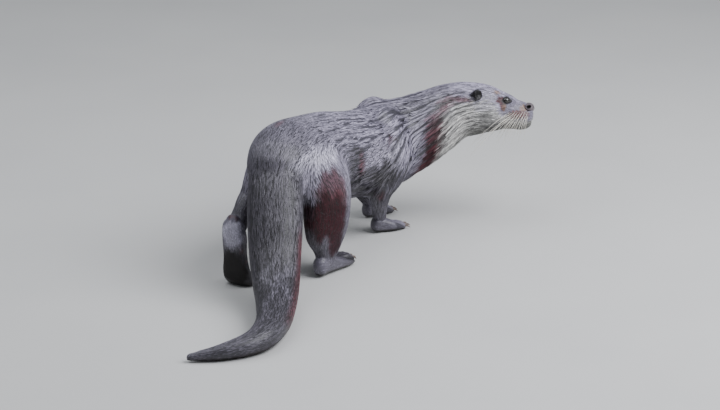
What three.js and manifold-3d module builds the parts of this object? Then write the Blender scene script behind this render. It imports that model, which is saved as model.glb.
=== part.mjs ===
// A life-size river otter, standing on flat ground in mid step and looking to its right.
//
// +X runs from the hips to the shoulders, +Y to the animal's left, +Z up, in millimetres. The floor is z = 0.
// Every limb is a loft: a smooth line through a few named stations, with a superellipse across it.
// The stations give the outer edge of the coat. Limbs are cut at their joints and out of what they grow from.
import * as THREE from "three";
import { mergeVertices } from "three/addons/utils/BufferGeometryUtils.js";
import Module from "manifold-3d";

const wasm = await Module();
wasm.setup();

// ---- Driving dimensions ----

const GAP = 0.35; // between neighbouring pieces
const HIP_HEIGHT = 180; // hip joints above the floor
const NOSE = new THREE.Vector3(460, -205.5, 179); // tip of the nose
const HEAD_TURN = -60; // the head's heading, in degrees from +X
const HEAD_ROLL = -8; // the crown leans to the animal's left
const EYE_RADIUS = 6.2;
const FORE_TOE = 31; // from a forepaw's root to the middle of its longest toe's pad
const HIND_TOE = 41; // and in a hind foot
const FORE_CLAW = 8.5;
const HIND_CLAW = 7;
const PAD_SHARE = 0.148; // a toe pad's radius, as a share of the longest toe
const MIDLINE = 6; // a leg's root stops this far from the middle of the body
const PAD_FLAT = 1; // how much of each toe's pad the floor flattens
const SPINE_RING = 28; // distance between a loft's sections
const HEAD_RING = 17;
const LIMB_RING = 25;

const UP = new THREE.Vector3(0, 0, 1);
const FORWARD = new THREE.Vector3(1, 0, 0);
const radians = THREE.MathUtils.degToRad;

// ---- The head's own frame: x ahead of the nose tip, y to the animal's left, z above the nostrils ----

const headAxis = new THREE.Vector3(Math.cos(radians(HEAD_TURN)), Math.sin(radians(HEAD_TURN)), 0);
const headUp = UP.clone().applyAxisAngle(headAxis, radians(HEAD_ROLL));
const headLeft = new THREE.Vector3().crossVectors(headUp, headAxis);
const HEAD = new THREE.Matrix4().makeBasis(headAxis, headLeft, headUp).setPosition(NOSE);
const inHead = (behind, left, above) => new THREE.Vector3(-behind, left, above).applyMatrix4(HEAD);

// ---- Stations: where a limb's middle passes, and how far the coat reaches to each side, up and down ----
// On a leg, which runs downwards, "up" is the front and "down" is the back.

const at = (x, y, z, side, up, down, lean = UP) => ({
  middle: new THREE.Vector3(x, y, z),
  reach: new THREE.Vector3(side, up, down),
  lean,
});
const atHead = (behind, above, side, up, down) => ({
  middle: inHead(behind, 0, above),
  reach: new THREE.Vector3(side, up, down),
  lean: headUp,
});

// Rump to nose, in one line
const SPINE = [
  at(-60, -16, 160, 36, 38, 42), // seat
  at(-32, -9, 178, 50, 52, 56), // pelvis
  at(14, 0, 180, 61, 59, 66), // hips
  at(72, 5, 168, 65, 65, 70), // loin
  at(134, 6, 152, 67, 72, 72), // belly
  at(200, 2, 138, 67, 71, 73), // ribs
  at(258, -1, 130, 65, 71, 72), // shoulders
  at(298, -10, 132, 61, 71, 72), // breast
  at(334, -38, 142, 57, 66, 63), // base of the neck
  at(364, -67, 158, 53, 59.5, 53), // neck
  atHead(138, -8, 50, 52.5, 45), // nape
  atHead(119, -1, 49, 47.5, 46), // back of the skull
  atHead(100, 1.5, 47, 44, 45), // ears
  atHead(82, 2, 44, 40, 42), // cheeks
  atHead(64, 0, 37, 34.5, 37),
  atHead(48, -2, 30.5, 28.5, 32), // eyes
  atHead(34, -6, 26, 23.5, 28),
  atHead(20, -8.5, 22, 21.5, 23), // whisker pads
  atHead(9, -9, 17, 19, 18.5),
];
// Where the trunk and neck are parted, counted in stations
const [SEAT, PELVIS_END, BELLY_END, CHEST_END, NECK_END] = [0, 2.5, 4.5, 7.5, 11.3];

// Tip to root, so that "up" stays up
const TAIL = [
  at(-402, -90, 9, 6, 5, 8.5),
  at(-368, -127, 14, 14, 11, 15),
  at(-319, -151, 19, 21, 16, 20),
  at(-262, -141, 23, 26, 20, 24),
  at(-206, -113, 29, 31, 25, 28),
  at(-162, -86, 41, 36, 31, 32),
  at(-124, -61, 68, 40, 37, 36),
  at(-93, -42, 106, 43, 42, 40),
  at(-66, -26, 141, 44, 45, 42),
  at(-42, -14, 164, 42, 42, 42),
];
const TAIL_JOINTS = [0, 2.5, 4.6, 6.4, 9]; // tip, lower, middle, root

const THIGH = {
  right: [
    at(6, -24, 200, 26, 36, 38, FORWARD),
    at(16, -38, HIP_HEIGHT - 4, 34, 50, 48, FORWARD),
    at(36, -48, 144, 34, 56, 56, FORWARD),
    at(48, -54, 112, 30, 50, 62, FORWARD),
    at(50, -57, 90, 23, 38, 54, FORWARD),
  ],
  left: [
    at(6, 22, 200, 24, 34, 34, FORWARD),
    at(6, 32, HIP_HEIGHT - 4, 26, 44, 36, FORWARD),
    at(4, 39, 148, 27, 44, 38, FORWARD),
    at(2, 47, 120, 25, 36, 35, FORWARD),
    at(2, 50, 100, 18, 24, 26, FORWARD),
  ],
};
const SHANK = {
  right: [
    at(46, -56, 104, 28, 46, 63, FORWARD),
    at(38, -58, 78, 27, 43, 61, FORWARD),
    at(29, -60, 54, 22, 36, 52, FORWARD),
    at(22, -63, 34, 16, 24, 30, FORWARD),
    at(17, -63, 22, 13, 15, 17, FORWARD),
  ],
  left: [
    at(4, 52, 118, 22, 22, 22),
    at(-22, 49, 110, 21, 22, 22),
    at(-52, 43, 100, 17, 18, 18),
    at(-77, 37, 91, 16, 17, 18),
    at(-87, 34, 84, 14, 14, 15),
  ],
};
const HIND_FOOT = {
  right: [
    at(2, -65, 20, 12, 13, 19),
    at(16, -64, 19, 14, 13, 18.5),
    at(38, -62, 13, 19, 10, 14),
    at(58, -59, 8.5, 26, 7.5, 10),
    at(76, -56, 5.5, 27, 3.6, 6.5),
    at(85, -55, 4.2, 22, 2.4, 3),
  ],
  left: [
    at(-92, 34, 105, 11, 9, 9, FORWARD),
    at(-93, 34, 96, 17, 14, 14, FORWARD),
    at(-94, 31, 76, 19.5, 16, 16, FORWARD),
    at(-97, 28, 50, 20, 11.5, 12, FORWARD),
    at(-99, 25, 27, 24, 8.5, 10, FORWARD),
    at(-91, 24, 11, 27, 8, 12, new THREE.Vector3(0.8, 0, 0.6)),
    at(-75, 25, 5.6, 27, 3.6, 7),
    at(-66, 26, 4.2, 22, 2.4, 3),
  ],
};
const UPPER_ARM = {
  right: [
    at(268, -34, 180, 22, 32, 36, FORWARD),
    at(264, -46, 148, 27, 42, 42, FORWARD),
    at(246, -51, 114, 26, 40, 40, FORWARD),
    at(224, -52, 88, 20, 28, 26, FORWARD),
    at(214, -51, 76, 14, 20, 18, FORWARD),
  ],
  left: [
    at(308, 20, 180, 22, 32, 36, FORWARD),
    at(306, 34, 148, 27, 40, 42, FORWARD),
    at(290, 38, 114, 26, 36, 38, FORWARD),
    at(270, 36, 88, 20, 26, 25, FORWARD),
    at(262, 34, 76, 14, 18, 17, FORWARD),
  ],
};
const FOREARM = {
  right: [
    at(216, -51, 86, 19, 30, 26, FORWARD),
    at(220, -47, 66, 16, 21, 18, FORWARD),
    at(230, -41, 46, 13, 15, 14, FORWARD),
    at(239, -36, 29, 12, 12, 12, FORWARD),
    at(242, -35, 21, 11.5, 10, 11, FORWARD),
  ],
  left: [
    at(262, 34, 86, 19, 24, 22, FORWARD),
    at(272, 30, 66, 16, 19, 18, FORWARD),
    at(286, 24, 46, 13, 15, 14, FORWARD),
    at(298, 18, 29, 12, 12, 12, FORWARD),
    at(301, 17, 21, 11.5, 10, 11, FORWARD),
  ],
};
const FOREPAW = {
  right: [
    at(234, -34, 16, 11, 10, 15),
    at(245, -38, 14, 15, 10, 14.5),
    at(257, -43, 10.5, 19, 8, 11.5),
    at(268, -47.5, 7.5, 20, 5, 8.5),
    at(276, -51, 5, 18, 2.6, 3.5),
  ],
  left: [
    at(294, 17, 16, 11, 10, 15),
    at(306, 15, 14, 15, 10, 14.5),
    at(319, 12.5, 10.5, 19, 8, 11.5),
    at(331, 10, 7.5, 20, 5, 8.5),
    at(340, 8, 5, 18, 2.6, 3.5),
  ],
};
// Where each foot's toes fan out from, its heading in degrees from +X, and which way its first toe lies
const foot = (paw, root, heading, inner, size) => ({ paw, root, heading, inner, ...size });
const FORE = { spread: 27, toe: FORE_TOE, claw: FORE_CLAW };
const HIND = { spread: 25, toe: HIND_TOE, claw: HIND_CLAW };
const FEET = {
  forepaw_right: foot(FOREPAW.right, [254, -42, 9], -22, 1, FORE),
  forepaw_left: foot(FOREPAW.left, [316, 13, 9], -12, -1, FORE),
  hind_foot_right: foot(HIND_FOOT.right, [52, -60, 9], 8, 1, HIND),
  hind_foot_left: foot(HIND_FOOT.left, [-99, 24, 9], 3, -1, HIND),
};
// The toes from the inner to the outer: share of the longest one's reach
const TOE_SHARES = [0.84, 0.96, 1, 0.98, 0.88];

// How finely the feet are faceted
const SOLE = { segments: 8, ring: 20, squareness: 2.4, dome: [0.9, 0.8], domeRings: 1 };
const TOE = { segments: 5, ring: 30, dome: [0, 0.9], domeRings: 1 };
const CLAW = { segments: 4, ring: 12, dome: [0, 0.6], domeRings: 1 };

// ---- Materials ----

const coat = (r, g, b, roughness = 0.45) =>
  new THREE.MeshStandardMaterial({ color: new THREE.Color(r, g, b), roughness, metalness: 0 });
const wetBrown = coat(0.135, 0.115, 0.12);
const darkBrown = coat(0.08, 0.058, 0.06);
const bareBlack = coat(0.02, 0.014, 0.014, 0.3);
const horn = coat(0.16, 0.12, 0.1, 0.35);

// ---- Lofts ----

// A superellipse's point at angle a, where n = 2 is an ellipse and more is squarer
function around(a, n, { x: side, y: up, z: down }) {
  const [c, s] = [Math.cos(a), Math.sin(a)];
  const bulge = (v) => Math.sign(v) * Math.abs(v) ** (2 / n);
  return [side * bulge(c), (s > 0 ? up : down) * bulge(s)];
}

// Each section is { middle, side, up, reach }. The sections are joined in order, and both ends are closed.
// The corners stand a little outside the true section, so that the facets hold its full breadth.
function shell(sections, segments, squareness) {
  const outside = Math.cos(Math.PI / segments) ** -0.6;
  const points = sections.flatMap(({ middle, side, up, reach }) =>
    Array.from({ length: segments }, (_, k) => {
      const [u, v] = around((k / segments) * 2 * Math.PI, squareness, reach);
      return middle.clone().addScaledVector(side, u * outside).addScaledVector(up, v * outside);
    }),
  );
  const faces = [];
  for (let ring = 0; ring + 1 < sections.length; ring++)
    for (let k = 0; k < segments; k++) {
      const a = ring * segments + k;
      const b = ring * segments + ((k + 1) % segments);
      faces.push(a, b, b + segments, a, b + segments, a + segments);
    }
  const first = points.push(sections[0].middle) - 1;
  const last = points.push(sections.at(-1).middle) - 1;
  const end = (sections.length - 1) * segments;
  for (let k = 0; k < segments; k++) {
    const next = (k + 1) % segments;
    faces.push(first, next, k, last, end + k, end + next);
  }
  return new THREE.BufferGeometry().setFromPoints(points).setIndex(faces);
}

// A loft along stations, from one station to another (fractions allowed). dome lists how far each end
// swells out, as a share of its own reach, with 0 for a flat joint. grow adds to every reach.
function loft(stations, options = {}) {
  const { from = 0, to = stations.length - 1, dome = [0.9, 0.9] } = options;
  const { ring = LIMB_RING, segments = 10, squareness = 2.15, grow = 0, domeRings = 2 } = options;
  const through = (key) => new THREE.CatmullRomCurve3(stations.map((s) => s[key]), false, "catmullrom");
  const [path, reaches, leans] = ["middle", "reach", "lean"].map(through);
  const most = stations.length - 1;
  const section = (station) => {
    const t = station / most;
    const along = path.getTangent(t);
    const side = leans.getPoint(t).cross(along).normalize();
    const up = new THREE.Vector3().crossVectors(along, side);
    return { middle: path.getPoint(t), along, side, up, reach: reaches.getPoint(t).addScalar(grow) };
  };
  const steps = [];
  for (let station = from; station < to; ) {
    steps.push(station);
    const here = path.getPoint(station / most);
    const ahead = path.getPoint(Math.min(station + 0.05, most) / most);
    station += Math.max((ring * 0.05) / here.distanceTo(ahead), 0.08);
  }
  if (to - steps.at(-1) < 0.3 && steps.length > 2) steps.pop();
  const sections = [...steps, to].map(section);
  const capped = (base, way, share) => {
    if (!share) {
      base.middle.addScaledVector(base.along, (-way * GAP) / 2); // a joint's face keeps its distance
      return [];
    }
    const swell = ((base.reach.x + base.reach.y + base.reach.z) / 3) * share;
    return Array.from({ length: domeRings }, (_, k) => {
      const angle = ((k + 1) / (domeRings + 0.6)) * (Math.PI / 2);
      return {
        ...base,
        middle: base.middle.clone().addScaledVector(base.along, way * swell * Math.sin(angle)),
        reach: base.reach.clone().multiplyScalar(Math.cos(angle)),
      };
    });
  };
  const head = capped(sections[0], -1, dome[0]).reverse();
  const foot = capped(sections.at(-1), 1, dome[1]);
  return shell([...head, ...sections, ...foot], segments, squareness);
}

// An ellipsoid by its half sizes, in the head's frame
function headBall(behind, left, above, halfX, halfY, halfZ, segments = 8) {
  return new THREE.SphereGeometry(1, segments, Math.round(segments * 0.7))
    .scale(halfX, halfY, halfZ)
    .translate(-behind, left, above)
    .applyMatrix4(HEAD);
}

// ---- Solids ----

function solid(geometry) {
  const bare = geometry.clone().deleteAttribute("normal").deleteAttribute("uv");
  const merged = mergeVertices(bare, 1e-3);
  const triVerts = new Uint32Array(merged.index.array);
  return new wasm.Manifold(
    new wasm.Mesh({ numProp: 3, vertProperties: merged.attributes.position.array, triVerts }),
  );
}

const joined = (...solids) => solids.reduce((a, b) => a.add(b));
const without = (body, ...cutters) => cutters.reduce((a, b) => a.subtract(b), body);

// The largest body of a solid, so that a sliver left by a cut is dropped
function largest(body) {
  return body.decompose().reduce((a, b) => (a.volume() > b.volume() ? a : b));
}

const otter = new THREE.Group();

function place(name, body, material) {
  const { vertProperties, triVerts } = largest(body).getMesh();
  const geometry = new THREE.BufferGeometry()
    .setAttribute("position", new THREE.BufferAttribute(vertProperties, 3))
    .setIndex(new THREE.BufferAttribute(triVerts, 1));
  geometry.computeVertexNormals();
  const mesh = new THREE.Mesh(geometry, material);
  mesh.name = name;
  otter.add(mesh);
}

const REACH = 700; // clears the whole animal
const FLOOR = solid(new THREE.BoxGeometry(2 * REACH, 2 * REACH, REACH).translate(0, 0, -REACH / 2));
// A leg's root stays on its own side of the midline
const ACROSS = {
  right: solid(new THREE.BoxGeometry(2 * REACH, REACH, REACH).translate(0, REACH / 2 - MIDLINE, 0)),
  left: solid(new THREE.BoxGeometry(2 * REACH, REACH, REACH).translate(0, -REACH / 2 + MIDLINE, 0)),
};

// ---- Legs ----

// Each piece is made whole, and once more a little larger, to cut its place out of its neighbour

function leg(side, names, lofts, footing) {
  const [upper, lower] = lofts.map((stations) => solid(loft(stations)));
  const [upperPlace, lowerPlace] = lofts.map((stations) => solid(loft(stations, { grow: GAP })));
  place(names[0], without(upper, ACROSS[side]), wetBrown);
  place(names[1], without(lower, upperPlace), wetBrown);
  paw(names[2], footing, lowerPlace);
  return [upperPlace, lowerPlace];
}

// A toe runs low along a ray of its foot's fan and ends in a pad. Its claw hooks down from the pad's tip.
// ray gives the point at a distance along the ray and at a height.
function toeLines(ray, reach, pad, claw) {
  const bone = (distance, height, width, tall) => at(...ray(distance, height), width, tall, tall);
  const tip = reach + pad * 0.7;
  return {
    toe: [
      bone(reach * 0.3, pad * 1.5, pad * 0.8, pad),
      bone(reach * 0.75, pad * 1.65, pad * 0.85, pad * 1.05),
      bone(reach, pad - PAD_FLAT, pad, pad),
    ],
    claw: [
      bone(reach + pad * 0.3, pad * 1.25, pad * 0.34, pad * 0.42),
      bone(tip + claw * 0.45, pad * 1.15, pad * 0.24, pad * 0.3),
      bone(tip + claw, pad * 0.5, pad * 0.1, pad * 0.1),
    ],
  };
}

// A paw is its sole and web, with a toe along each ray of a fan, and a claw at each toe's tip
function paw(name, { paw: sole, root, heading, spread, toe, claw, inner }, shankPlace) {
  const middle = (TOE_SHARES.length - 1) / 2;
  const fan = TOE_SHARES.map((share, k) => {
    const turn = radians(heading + ((middle - k) / middle) * spread * inner);
    const [x, y] = [Math.cos(turn), Math.sin(turn)];
    const ray = (distance, height) => [root[0] + x * distance, root[1] + y * distance, height];
    return toeLines(ray, toe * share, toe * PAD_SHARE, claw);
  });
  const whole = (grow) =>
    joined(
      solid(loft(sole, { ...SOLE, grow })),
      ...fan.map((lines) => solid(loft(lines.toe, { ...TOE, grow }))),
    );
  place(name, without(whole(0), shankPlace, FLOOR), darkBrown);
  const pawPlace = whole(GAP);
  fan.forEach((lines, k) => {
    place(`${name}_claw_${k + 1}`, without(solid(loft(lines.claw, CLAW)), pawPlace, FLOOR), horn);
  });
}

const sockets = ["right", "left"].map((side) => ({
  hip: leg(
    side,
    [`thigh_${side}`, `shank_${side}`, `hind_foot_${side}`],
    [THIGH[side], SHANK[side]],
    FEET[`hind_foot_${side}`],
  ),
  shoulder: leg(
    side,
    [`upper_arm_${side}`, `forearm_${side}`, `forepaw_${side}`],
    [UPPER_ARM[side], FOREARM[side]],
    FEET[`forepaw_${side}`],
  ),
}));
const hips = sockets.flatMap((s) => s.hip);
const shoulders = sockets.flatMap((s) => s.shoulder);

// ---- Tail: four lengths. The root is let into the rump. ----

const tailPiece = (from, to, dome, grow = 0) =>
  solid(loft(TAIL, { from, to, dome, grow, segments: 12, squareness: 2.2 }));
const [tip, lower, middle, root, buried] = TAIL_JOINTS;
place("tail_tip", without(tailPiece(tip, lower, [1.2, 0]), FLOOR), wetBrown);
place("tail_lower", without(tailPiece(lower, middle, [0, 0]), FLOOR), wetBrown);
place("tail_middle", without(tailPiece(middle, root, [0, 0]), FLOOR), wetBrown);
place("tail_root", without(tailPiece(root, buried, [0, 0.5]), ...hips), wetBrown);
const tailPlace = tailPiece(root - 0.5, buried, [0, 0.5], GAP);

// ---- Trunk and neck ----

const spine = (from, to, dome, ring = SPINE_RING) =>
  solid(loft(SPINE, { from, to, dome, ring, segments: 16, squareness: 2.15 }));
place("rump", without(spine(SEAT, PELVIS_END, [0.6, 0]), tailPlace, ...hips), wetBrown);
place("belly", without(spine(PELVIS_END, BELLY_END, [0, 0]), ...hips), wetBrown);
place("chest", without(spine(BELLY_END, CHEST_END, [0, 0]), ...shoulders), wetBrown);
place("neck", without(spine(CHEST_END, NECK_END, [0, 0]), ...shoulders), wetBrown);

// ---- Head ----

const EYE = { behind: 48, aside: 22, above: 17 };
const EAR = { behind: 96.5, aside: 40.5, above: 29.5 };
const mirrored = [["right", -1], ["left", 1]];

const features = mirrored.flatMap(([, y]) => [
  headBall(22, y * 10.5, -12, 17, 14.5, 14), // whisker pad
  headBall(80, y * 19, -6, 30, 27, 30), // cheek
  headBall(49, y * 15.5, 13.5, 17, 12.5, 11), // brow
]);
const chin = headBall(23, 0, -23.5, 20, 13, 11.5);
const noseBall = (grow = 0) => headBall(7.5, 0, 1.5, 8.5 + grow, 10.5 + grow, 8.5 + grow);
const eyeBall = (y, grow = 0) => {
  const r = EYE_RADIUS + grow;
  return headBall(EYE.behind, y * EYE.aside, EYE.above, r, r, r);
};
// An ear is a small rounded cup that stands out from the side of the head, open to the front
const earShell = (y, grow = 0) => {
  const [x, side, z] = [8.5, 9.5, 9.5].map((half) => half + grow);
  return solid(headBall(EAR.behind, y * EAR.aside, EAR.above, x, side, z, 10));
};
const earHollow = (y) => solid(headBall(EAR.behind - 6.5, y * (EAR.aside + 4), EAR.above, 8.5, 9, 7));

const braincase = spine(NECK_END, SPINE.length - 1, [0, 0.45], HEAD_RING);
const skull = joined(braincase, ...features.map(solid), solid(chin));
const fittings = mirrored.flatMap(([, y]) => [solid(eyeBall(y, GAP)), earShell(y, GAP)]);
place("head", without(skull, solid(noseBall(GAP)), ...fittings), wetBrown);
place("nose", solid(noseBall()), bareBlack);
for (const [side, y] of mirrored) {
  place(`eye_${side}`, solid(eyeBall(y)), bareBlack);
  place(`ear_${side}`, without(earShell(y), earHollow(y)), darkBrown);
}

// ---- The origin: on the floor, under the middle of the whole animal ----

const box = new THREE.Box3().setFromObject(otter);
const centre = box.getCenter(new THREE.Vector3());
otter.position.set(-centre.x, -centre.y, -box.min.z);

export default otter;
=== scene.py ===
"""The looks of a life-size river otter: one skin, a coat of solid locks, eyes, nose, claws and whiskers.

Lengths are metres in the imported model's frame: +X from the hips to the shoulders, +Y to the animal's left
and +Z up. The stations are the part's own, in millimetres. They give the outer edge of the coat, and the
skin lies inside it.
"""

import math

import bmesh
import bpy
import numpy as np
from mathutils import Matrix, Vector
from mathutils.bvhtree import BVHTree
from mathutils.kdtree import KDTree


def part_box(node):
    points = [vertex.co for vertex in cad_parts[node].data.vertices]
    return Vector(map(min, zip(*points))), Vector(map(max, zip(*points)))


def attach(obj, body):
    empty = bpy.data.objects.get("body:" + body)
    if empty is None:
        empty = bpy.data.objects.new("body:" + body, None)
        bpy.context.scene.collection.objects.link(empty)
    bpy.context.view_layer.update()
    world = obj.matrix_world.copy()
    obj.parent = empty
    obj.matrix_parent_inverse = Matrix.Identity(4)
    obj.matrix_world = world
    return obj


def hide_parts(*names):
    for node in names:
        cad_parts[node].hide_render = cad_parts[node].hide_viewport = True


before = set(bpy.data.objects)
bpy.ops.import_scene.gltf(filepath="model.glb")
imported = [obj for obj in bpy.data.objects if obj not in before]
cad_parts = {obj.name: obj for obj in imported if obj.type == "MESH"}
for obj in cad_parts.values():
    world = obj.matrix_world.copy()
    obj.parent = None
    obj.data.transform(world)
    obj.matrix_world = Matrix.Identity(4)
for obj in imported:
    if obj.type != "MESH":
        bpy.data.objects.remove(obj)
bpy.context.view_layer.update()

MM = 0.001
UP = np.array([0.0, 0.0, 1.0])
FORWARD = np.array([1.0, 0.0, 0.0])
SIDES = {"right": -1, "left": 1}
SKIN_VOXEL = 0.0013
SKIN_TRIANGLES = 150000  # what the skin is thinned to, before the lids and lips are cut
FLOOR_GAP = 0.3 * MM  # nothing of the skin or coat comes nearer the floor

# ---- The head's own frame: ahead of the nose tip, to the animal's left, above the nostrils ----

HEAD_TURN = math.radians(-60)
HEAD_ROLL = math.radians(-8)
NOSE_TIP = np.array([460, -205.5, 179])
EYE = {"behind": 48, "aside": 22, "above": 17, "radius": 6.2}

head_ahead = np.array([math.cos(HEAD_TURN), math.sin(HEAD_TURN), 0])
head_up = UP * math.cos(HEAD_ROLL) + np.cross(head_ahead, UP) * math.sin(HEAD_ROLL)
head_left = np.cross(head_up, head_ahead)
HEAD = np.array([head_ahead, head_left, head_up])


def in_head(behind, aside, above):
    """Points given in the head's frame, in the stations' millimetres."""
    return NOSE_TIP + np.stack([-np.asarray(behind, float), aside, above], -1) @ HEAD


def middle_of(node):
    """The middle of a CAD node's box, in metres."""
    low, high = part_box(node)
    return (np.array(low) + np.array(high)) / 2


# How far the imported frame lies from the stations, read off an eye
SHIFT = middle_of("eye_right") - in_head(EYE["behind"], -EYE["aside"], EYE["above"]) * MM


def placed(points):
    """From the stations' millimetres to metres in the frame."""
    return np.asarray(points) * MM + SHIFT


def head_view(points):
    """From metres in the frame to the head's own (behind, aside, above), in millimetres."""
    return ((points - SHIFT) / MM - NOSE_TIP) @ HEAD.T * [-1, 1, 1]


# ---- Stations: middle x, y, z, then how far the coat reaches to the side, up and down ----


def at_head(behind, above, side, up, down):
    """A station of the head, placed in the head's frame."""
    return (*in_head(behind, 0.0, above), side, up, down)


SPINE = [
    (-60, -16, 160, 36, 38, 42),  # seat
    (-32, -9, 178, 50, 52, 56),
    (14, 0, 180, 61, 59, 66),  # hips
    (72, 5, 168, 65, 65, 70),
    (134, 6, 152, 67, 72, 72),  # belly
    (200, 2, 138, 67, 71, 73),
    (258, -1, 130, 65, 71, 72),  # shoulders
    (298, -10, 132, 61, 71, 72),
    (334, -38, 142, 57, 66, 63),
    (364, -67, 158, 53, 59.5, 53),  # neck
    at_head(138, -8, 50, 52.5, 45),
    at_head(119, -1, 49, 47.5, 46),
    at_head(100, 1.5, 47, 44, 45),  # ears
    at_head(82, 2, 44, 40, 42),
    at_head(64, 0, 37, 34.5, 37),
    at_head(48, -2, 30.5, 28.5, 32),  # eyes
    at_head(34, -6, 26, 23.5, 28),
    at_head(20, -8.5, 22, 21.5, 23),
    at_head(9, -9, 17, 19, 18.5),
]
NAPE = 9.6  # the station where the head's finer shell begins, inside the neck
TAIL = [
    (-402, -90, 9, 6, 5, 8.5),
    (-368, -127, 14, 14, 11, 15),
    (-319, -151, 19, 21, 16, 20),
    (-262, -141, 23, 26, 20, 24),
    (-206, -113, 29, 31, 25, 28),
    (-162, -86, 41, 36, 31, 32),
    (-124, -61, 68, 40, 37, 36),
    (-93, -42, 106, 43, 42, 40),
    (-66, -26, 141, 44, 45, 42),
    (-42, -14, 164, 42, 42, 42),
]
THIGH = {
    "right": [
        (6, -24, 200, 26, 36, 38),
        (16, -38, 176, 34, 50, 48),
        (36, -48, 144, 34, 56, 56),
        (48, -54, 112, 30, 50, 62),
        (50, -57, 90, 23, 38, 54),
    ],
    "left": [
        (6, 22, 200, 24, 34, 34),
        (6, 32, 176, 26, 44, 36),
        (4, 39, 148, 27, 44, 38),
        (2, 47, 120, 25, 36, 35),
        (2, 50, 100, 18, 24, 26),
    ],
}
SHANK = {
    "right": [
        (46, -56, 104, 28, 46, 63),
        (38, -58, 78, 27, 43, 61),
        (29, -60, 54, 22, 36, 52),
        (22, -63, 34, 16, 24, 30),
        (17, -63, 22, 13, 15, 17),
    ],
    "left": [
        (4, 52, 118, 22, 22, 22),
        (-22, 49, 110, 21, 22, 22),
        (-52, 43, 100, 17, 18, 18),
        (-77, 37, 91, 16, 17, 18),
        (-87, 34, 84, 14, 14, 15),
    ],
}
HIND_FOOT = {
    "right": [
        (2, -65, 20, 12, 13, 19),
        (16, -64, 19, 14, 13, 18.5),
        (38, -62, 13, 19, 10, 14),
        (58, -59, 8.5, 26, 7.5, 10),
        (76, -56, 5.5, 27, 3.6, 6.5),
        (85, -55, 4.2, 22, 2.4, 3),
    ],
    "left": [
        (-92, 34, 105, 11, 9, 9),
        (-93, 34, 96, 17, 14, 14),
        (-94, 31, 76, 19.5, 16, 16),
        (-97, 28, 50, 20, 11.5, 12),
        (-99, 25, 27, 24, 8.5, 10),
        (-91, 24, 11, 27, 8, 12),
        (-75, 25, 5.6, 27, 3.6, 7),
        (-66, 26, 4.2, 22, 2.4, 3),
    ],
}
UPPER_ARM = {
    "right": [
        (268, -34, 180, 22, 32, 36),
        (264, -46, 148, 27, 42, 42),
        (246, -51, 114, 26, 40, 40),
        (224, -52, 88, 20, 28, 26),
        (214, -51, 76, 14, 20, 18),
    ],
    "left": [
        (308, 20, 180, 22, 32, 36),
        (306, 34, 148, 27, 40, 42),
        (290, 38, 114, 26, 36, 38),
        (270, 36, 88, 20, 26, 25),
        (262, 34, 76, 14, 18, 17),
    ],
}
FOREARM = {
    "right": [
        (216, -51, 86, 19, 30, 26),
        (220, -47, 66, 16, 21, 18),
        (230, -41, 46, 13, 15, 14),
        (239, -36, 29, 12, 12, 12),
        (242, -35, 21, 11.5, 10, 11),
    ],
    "left": [
        (262, 34, 86, 19, 24, 22),
        (272, 30, 66, 16, 19, 18),
        (286, 24, 46, 13, 15, 14),
        (298, 18, 29, 12, 12, 12),
        (301, 17, 21, 11.5, 10, 11),
    ],
}
FOREPAW = {
    "right": [
        (234, -34, 16, 11, 10, 15),
        (245, -38, 14, 15, 10, 14.5),
        (257, -43, 10.5, 19, 8, 11.5),
        (268, -47.5, 7.5, 20, 5, 8.5),
        (276, -51, 5, 18, 2.6, 3.5),
    ],
    "left": [
        (294, 17, 16, 11, 10, 15),
        (306, 15, 14, 15, 10, 14.5),
        (319, 12.5, 10.5, 19, 8, 11.5),
        (331, 10, 7.5, 20, 5, 8.5),
        (340, 8, 5, 18, 2.6, 3.5),
    ],
}
# Each foot's toes fan out from a root, round a heading. The first toe lies on the inner side.
FEET = {
    "forepaw_right": {"root": (254, -42), "heading": -22, "inner": 1, "spread": 27, "toe": 31, "claw": 8.5},
    "forepaw_left": {"root": (316, 13), "heading": -12, "inner": -1, "spread": 27, "toe": 31, "claw": 8.5},
    "hind_foot_right": {"root": (52, -60), "heading": 8, "inner": 1, "spread": 25, "toe": 41, "claw": 7},
    "hind_foot_left": {"root": (-99, 24), "heading": 3, "inner": -1, "spread": 25, "toe": 41, "claw": 7},
}
BEHIND_FEET = -112  # nothing of a foot lies further back than this station x
ANKLE = 40 * MM  # above this height nothing counts as a foot
ANKLE_FADE = 20 * MM
TOE_SHARES = [0.84, 0.96, 1, 0.98, 0.88]
PAD_SHARE = 0.148  # a toe pad's radius, as a share of the longest toe


# ---- Lofts ----


def through(values, stations):
    """The smooth cubic through values at whole stations. Its slope is half the step between neighbours."""
    values = np.asarray(values, float)
    ends = [2 * values[:1] - values[1:2], values, 2 * values[-1:] - values[-2:-1]]
    padded = np.concatenate(ends)
    base = np.clip(np.floor(stations).astype(int), 0, len(values) - 2)
    w = (stations - base)[:, None]
    a, b, c, d = (padded[base + k] for k in range(4))
    return 0.5 * (2 * b + (c - a) * w + (2 * a - 5 * b + 4 * c - d) * w**2 + (3 * b - a - 3 * c + d) * w**3)


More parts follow.
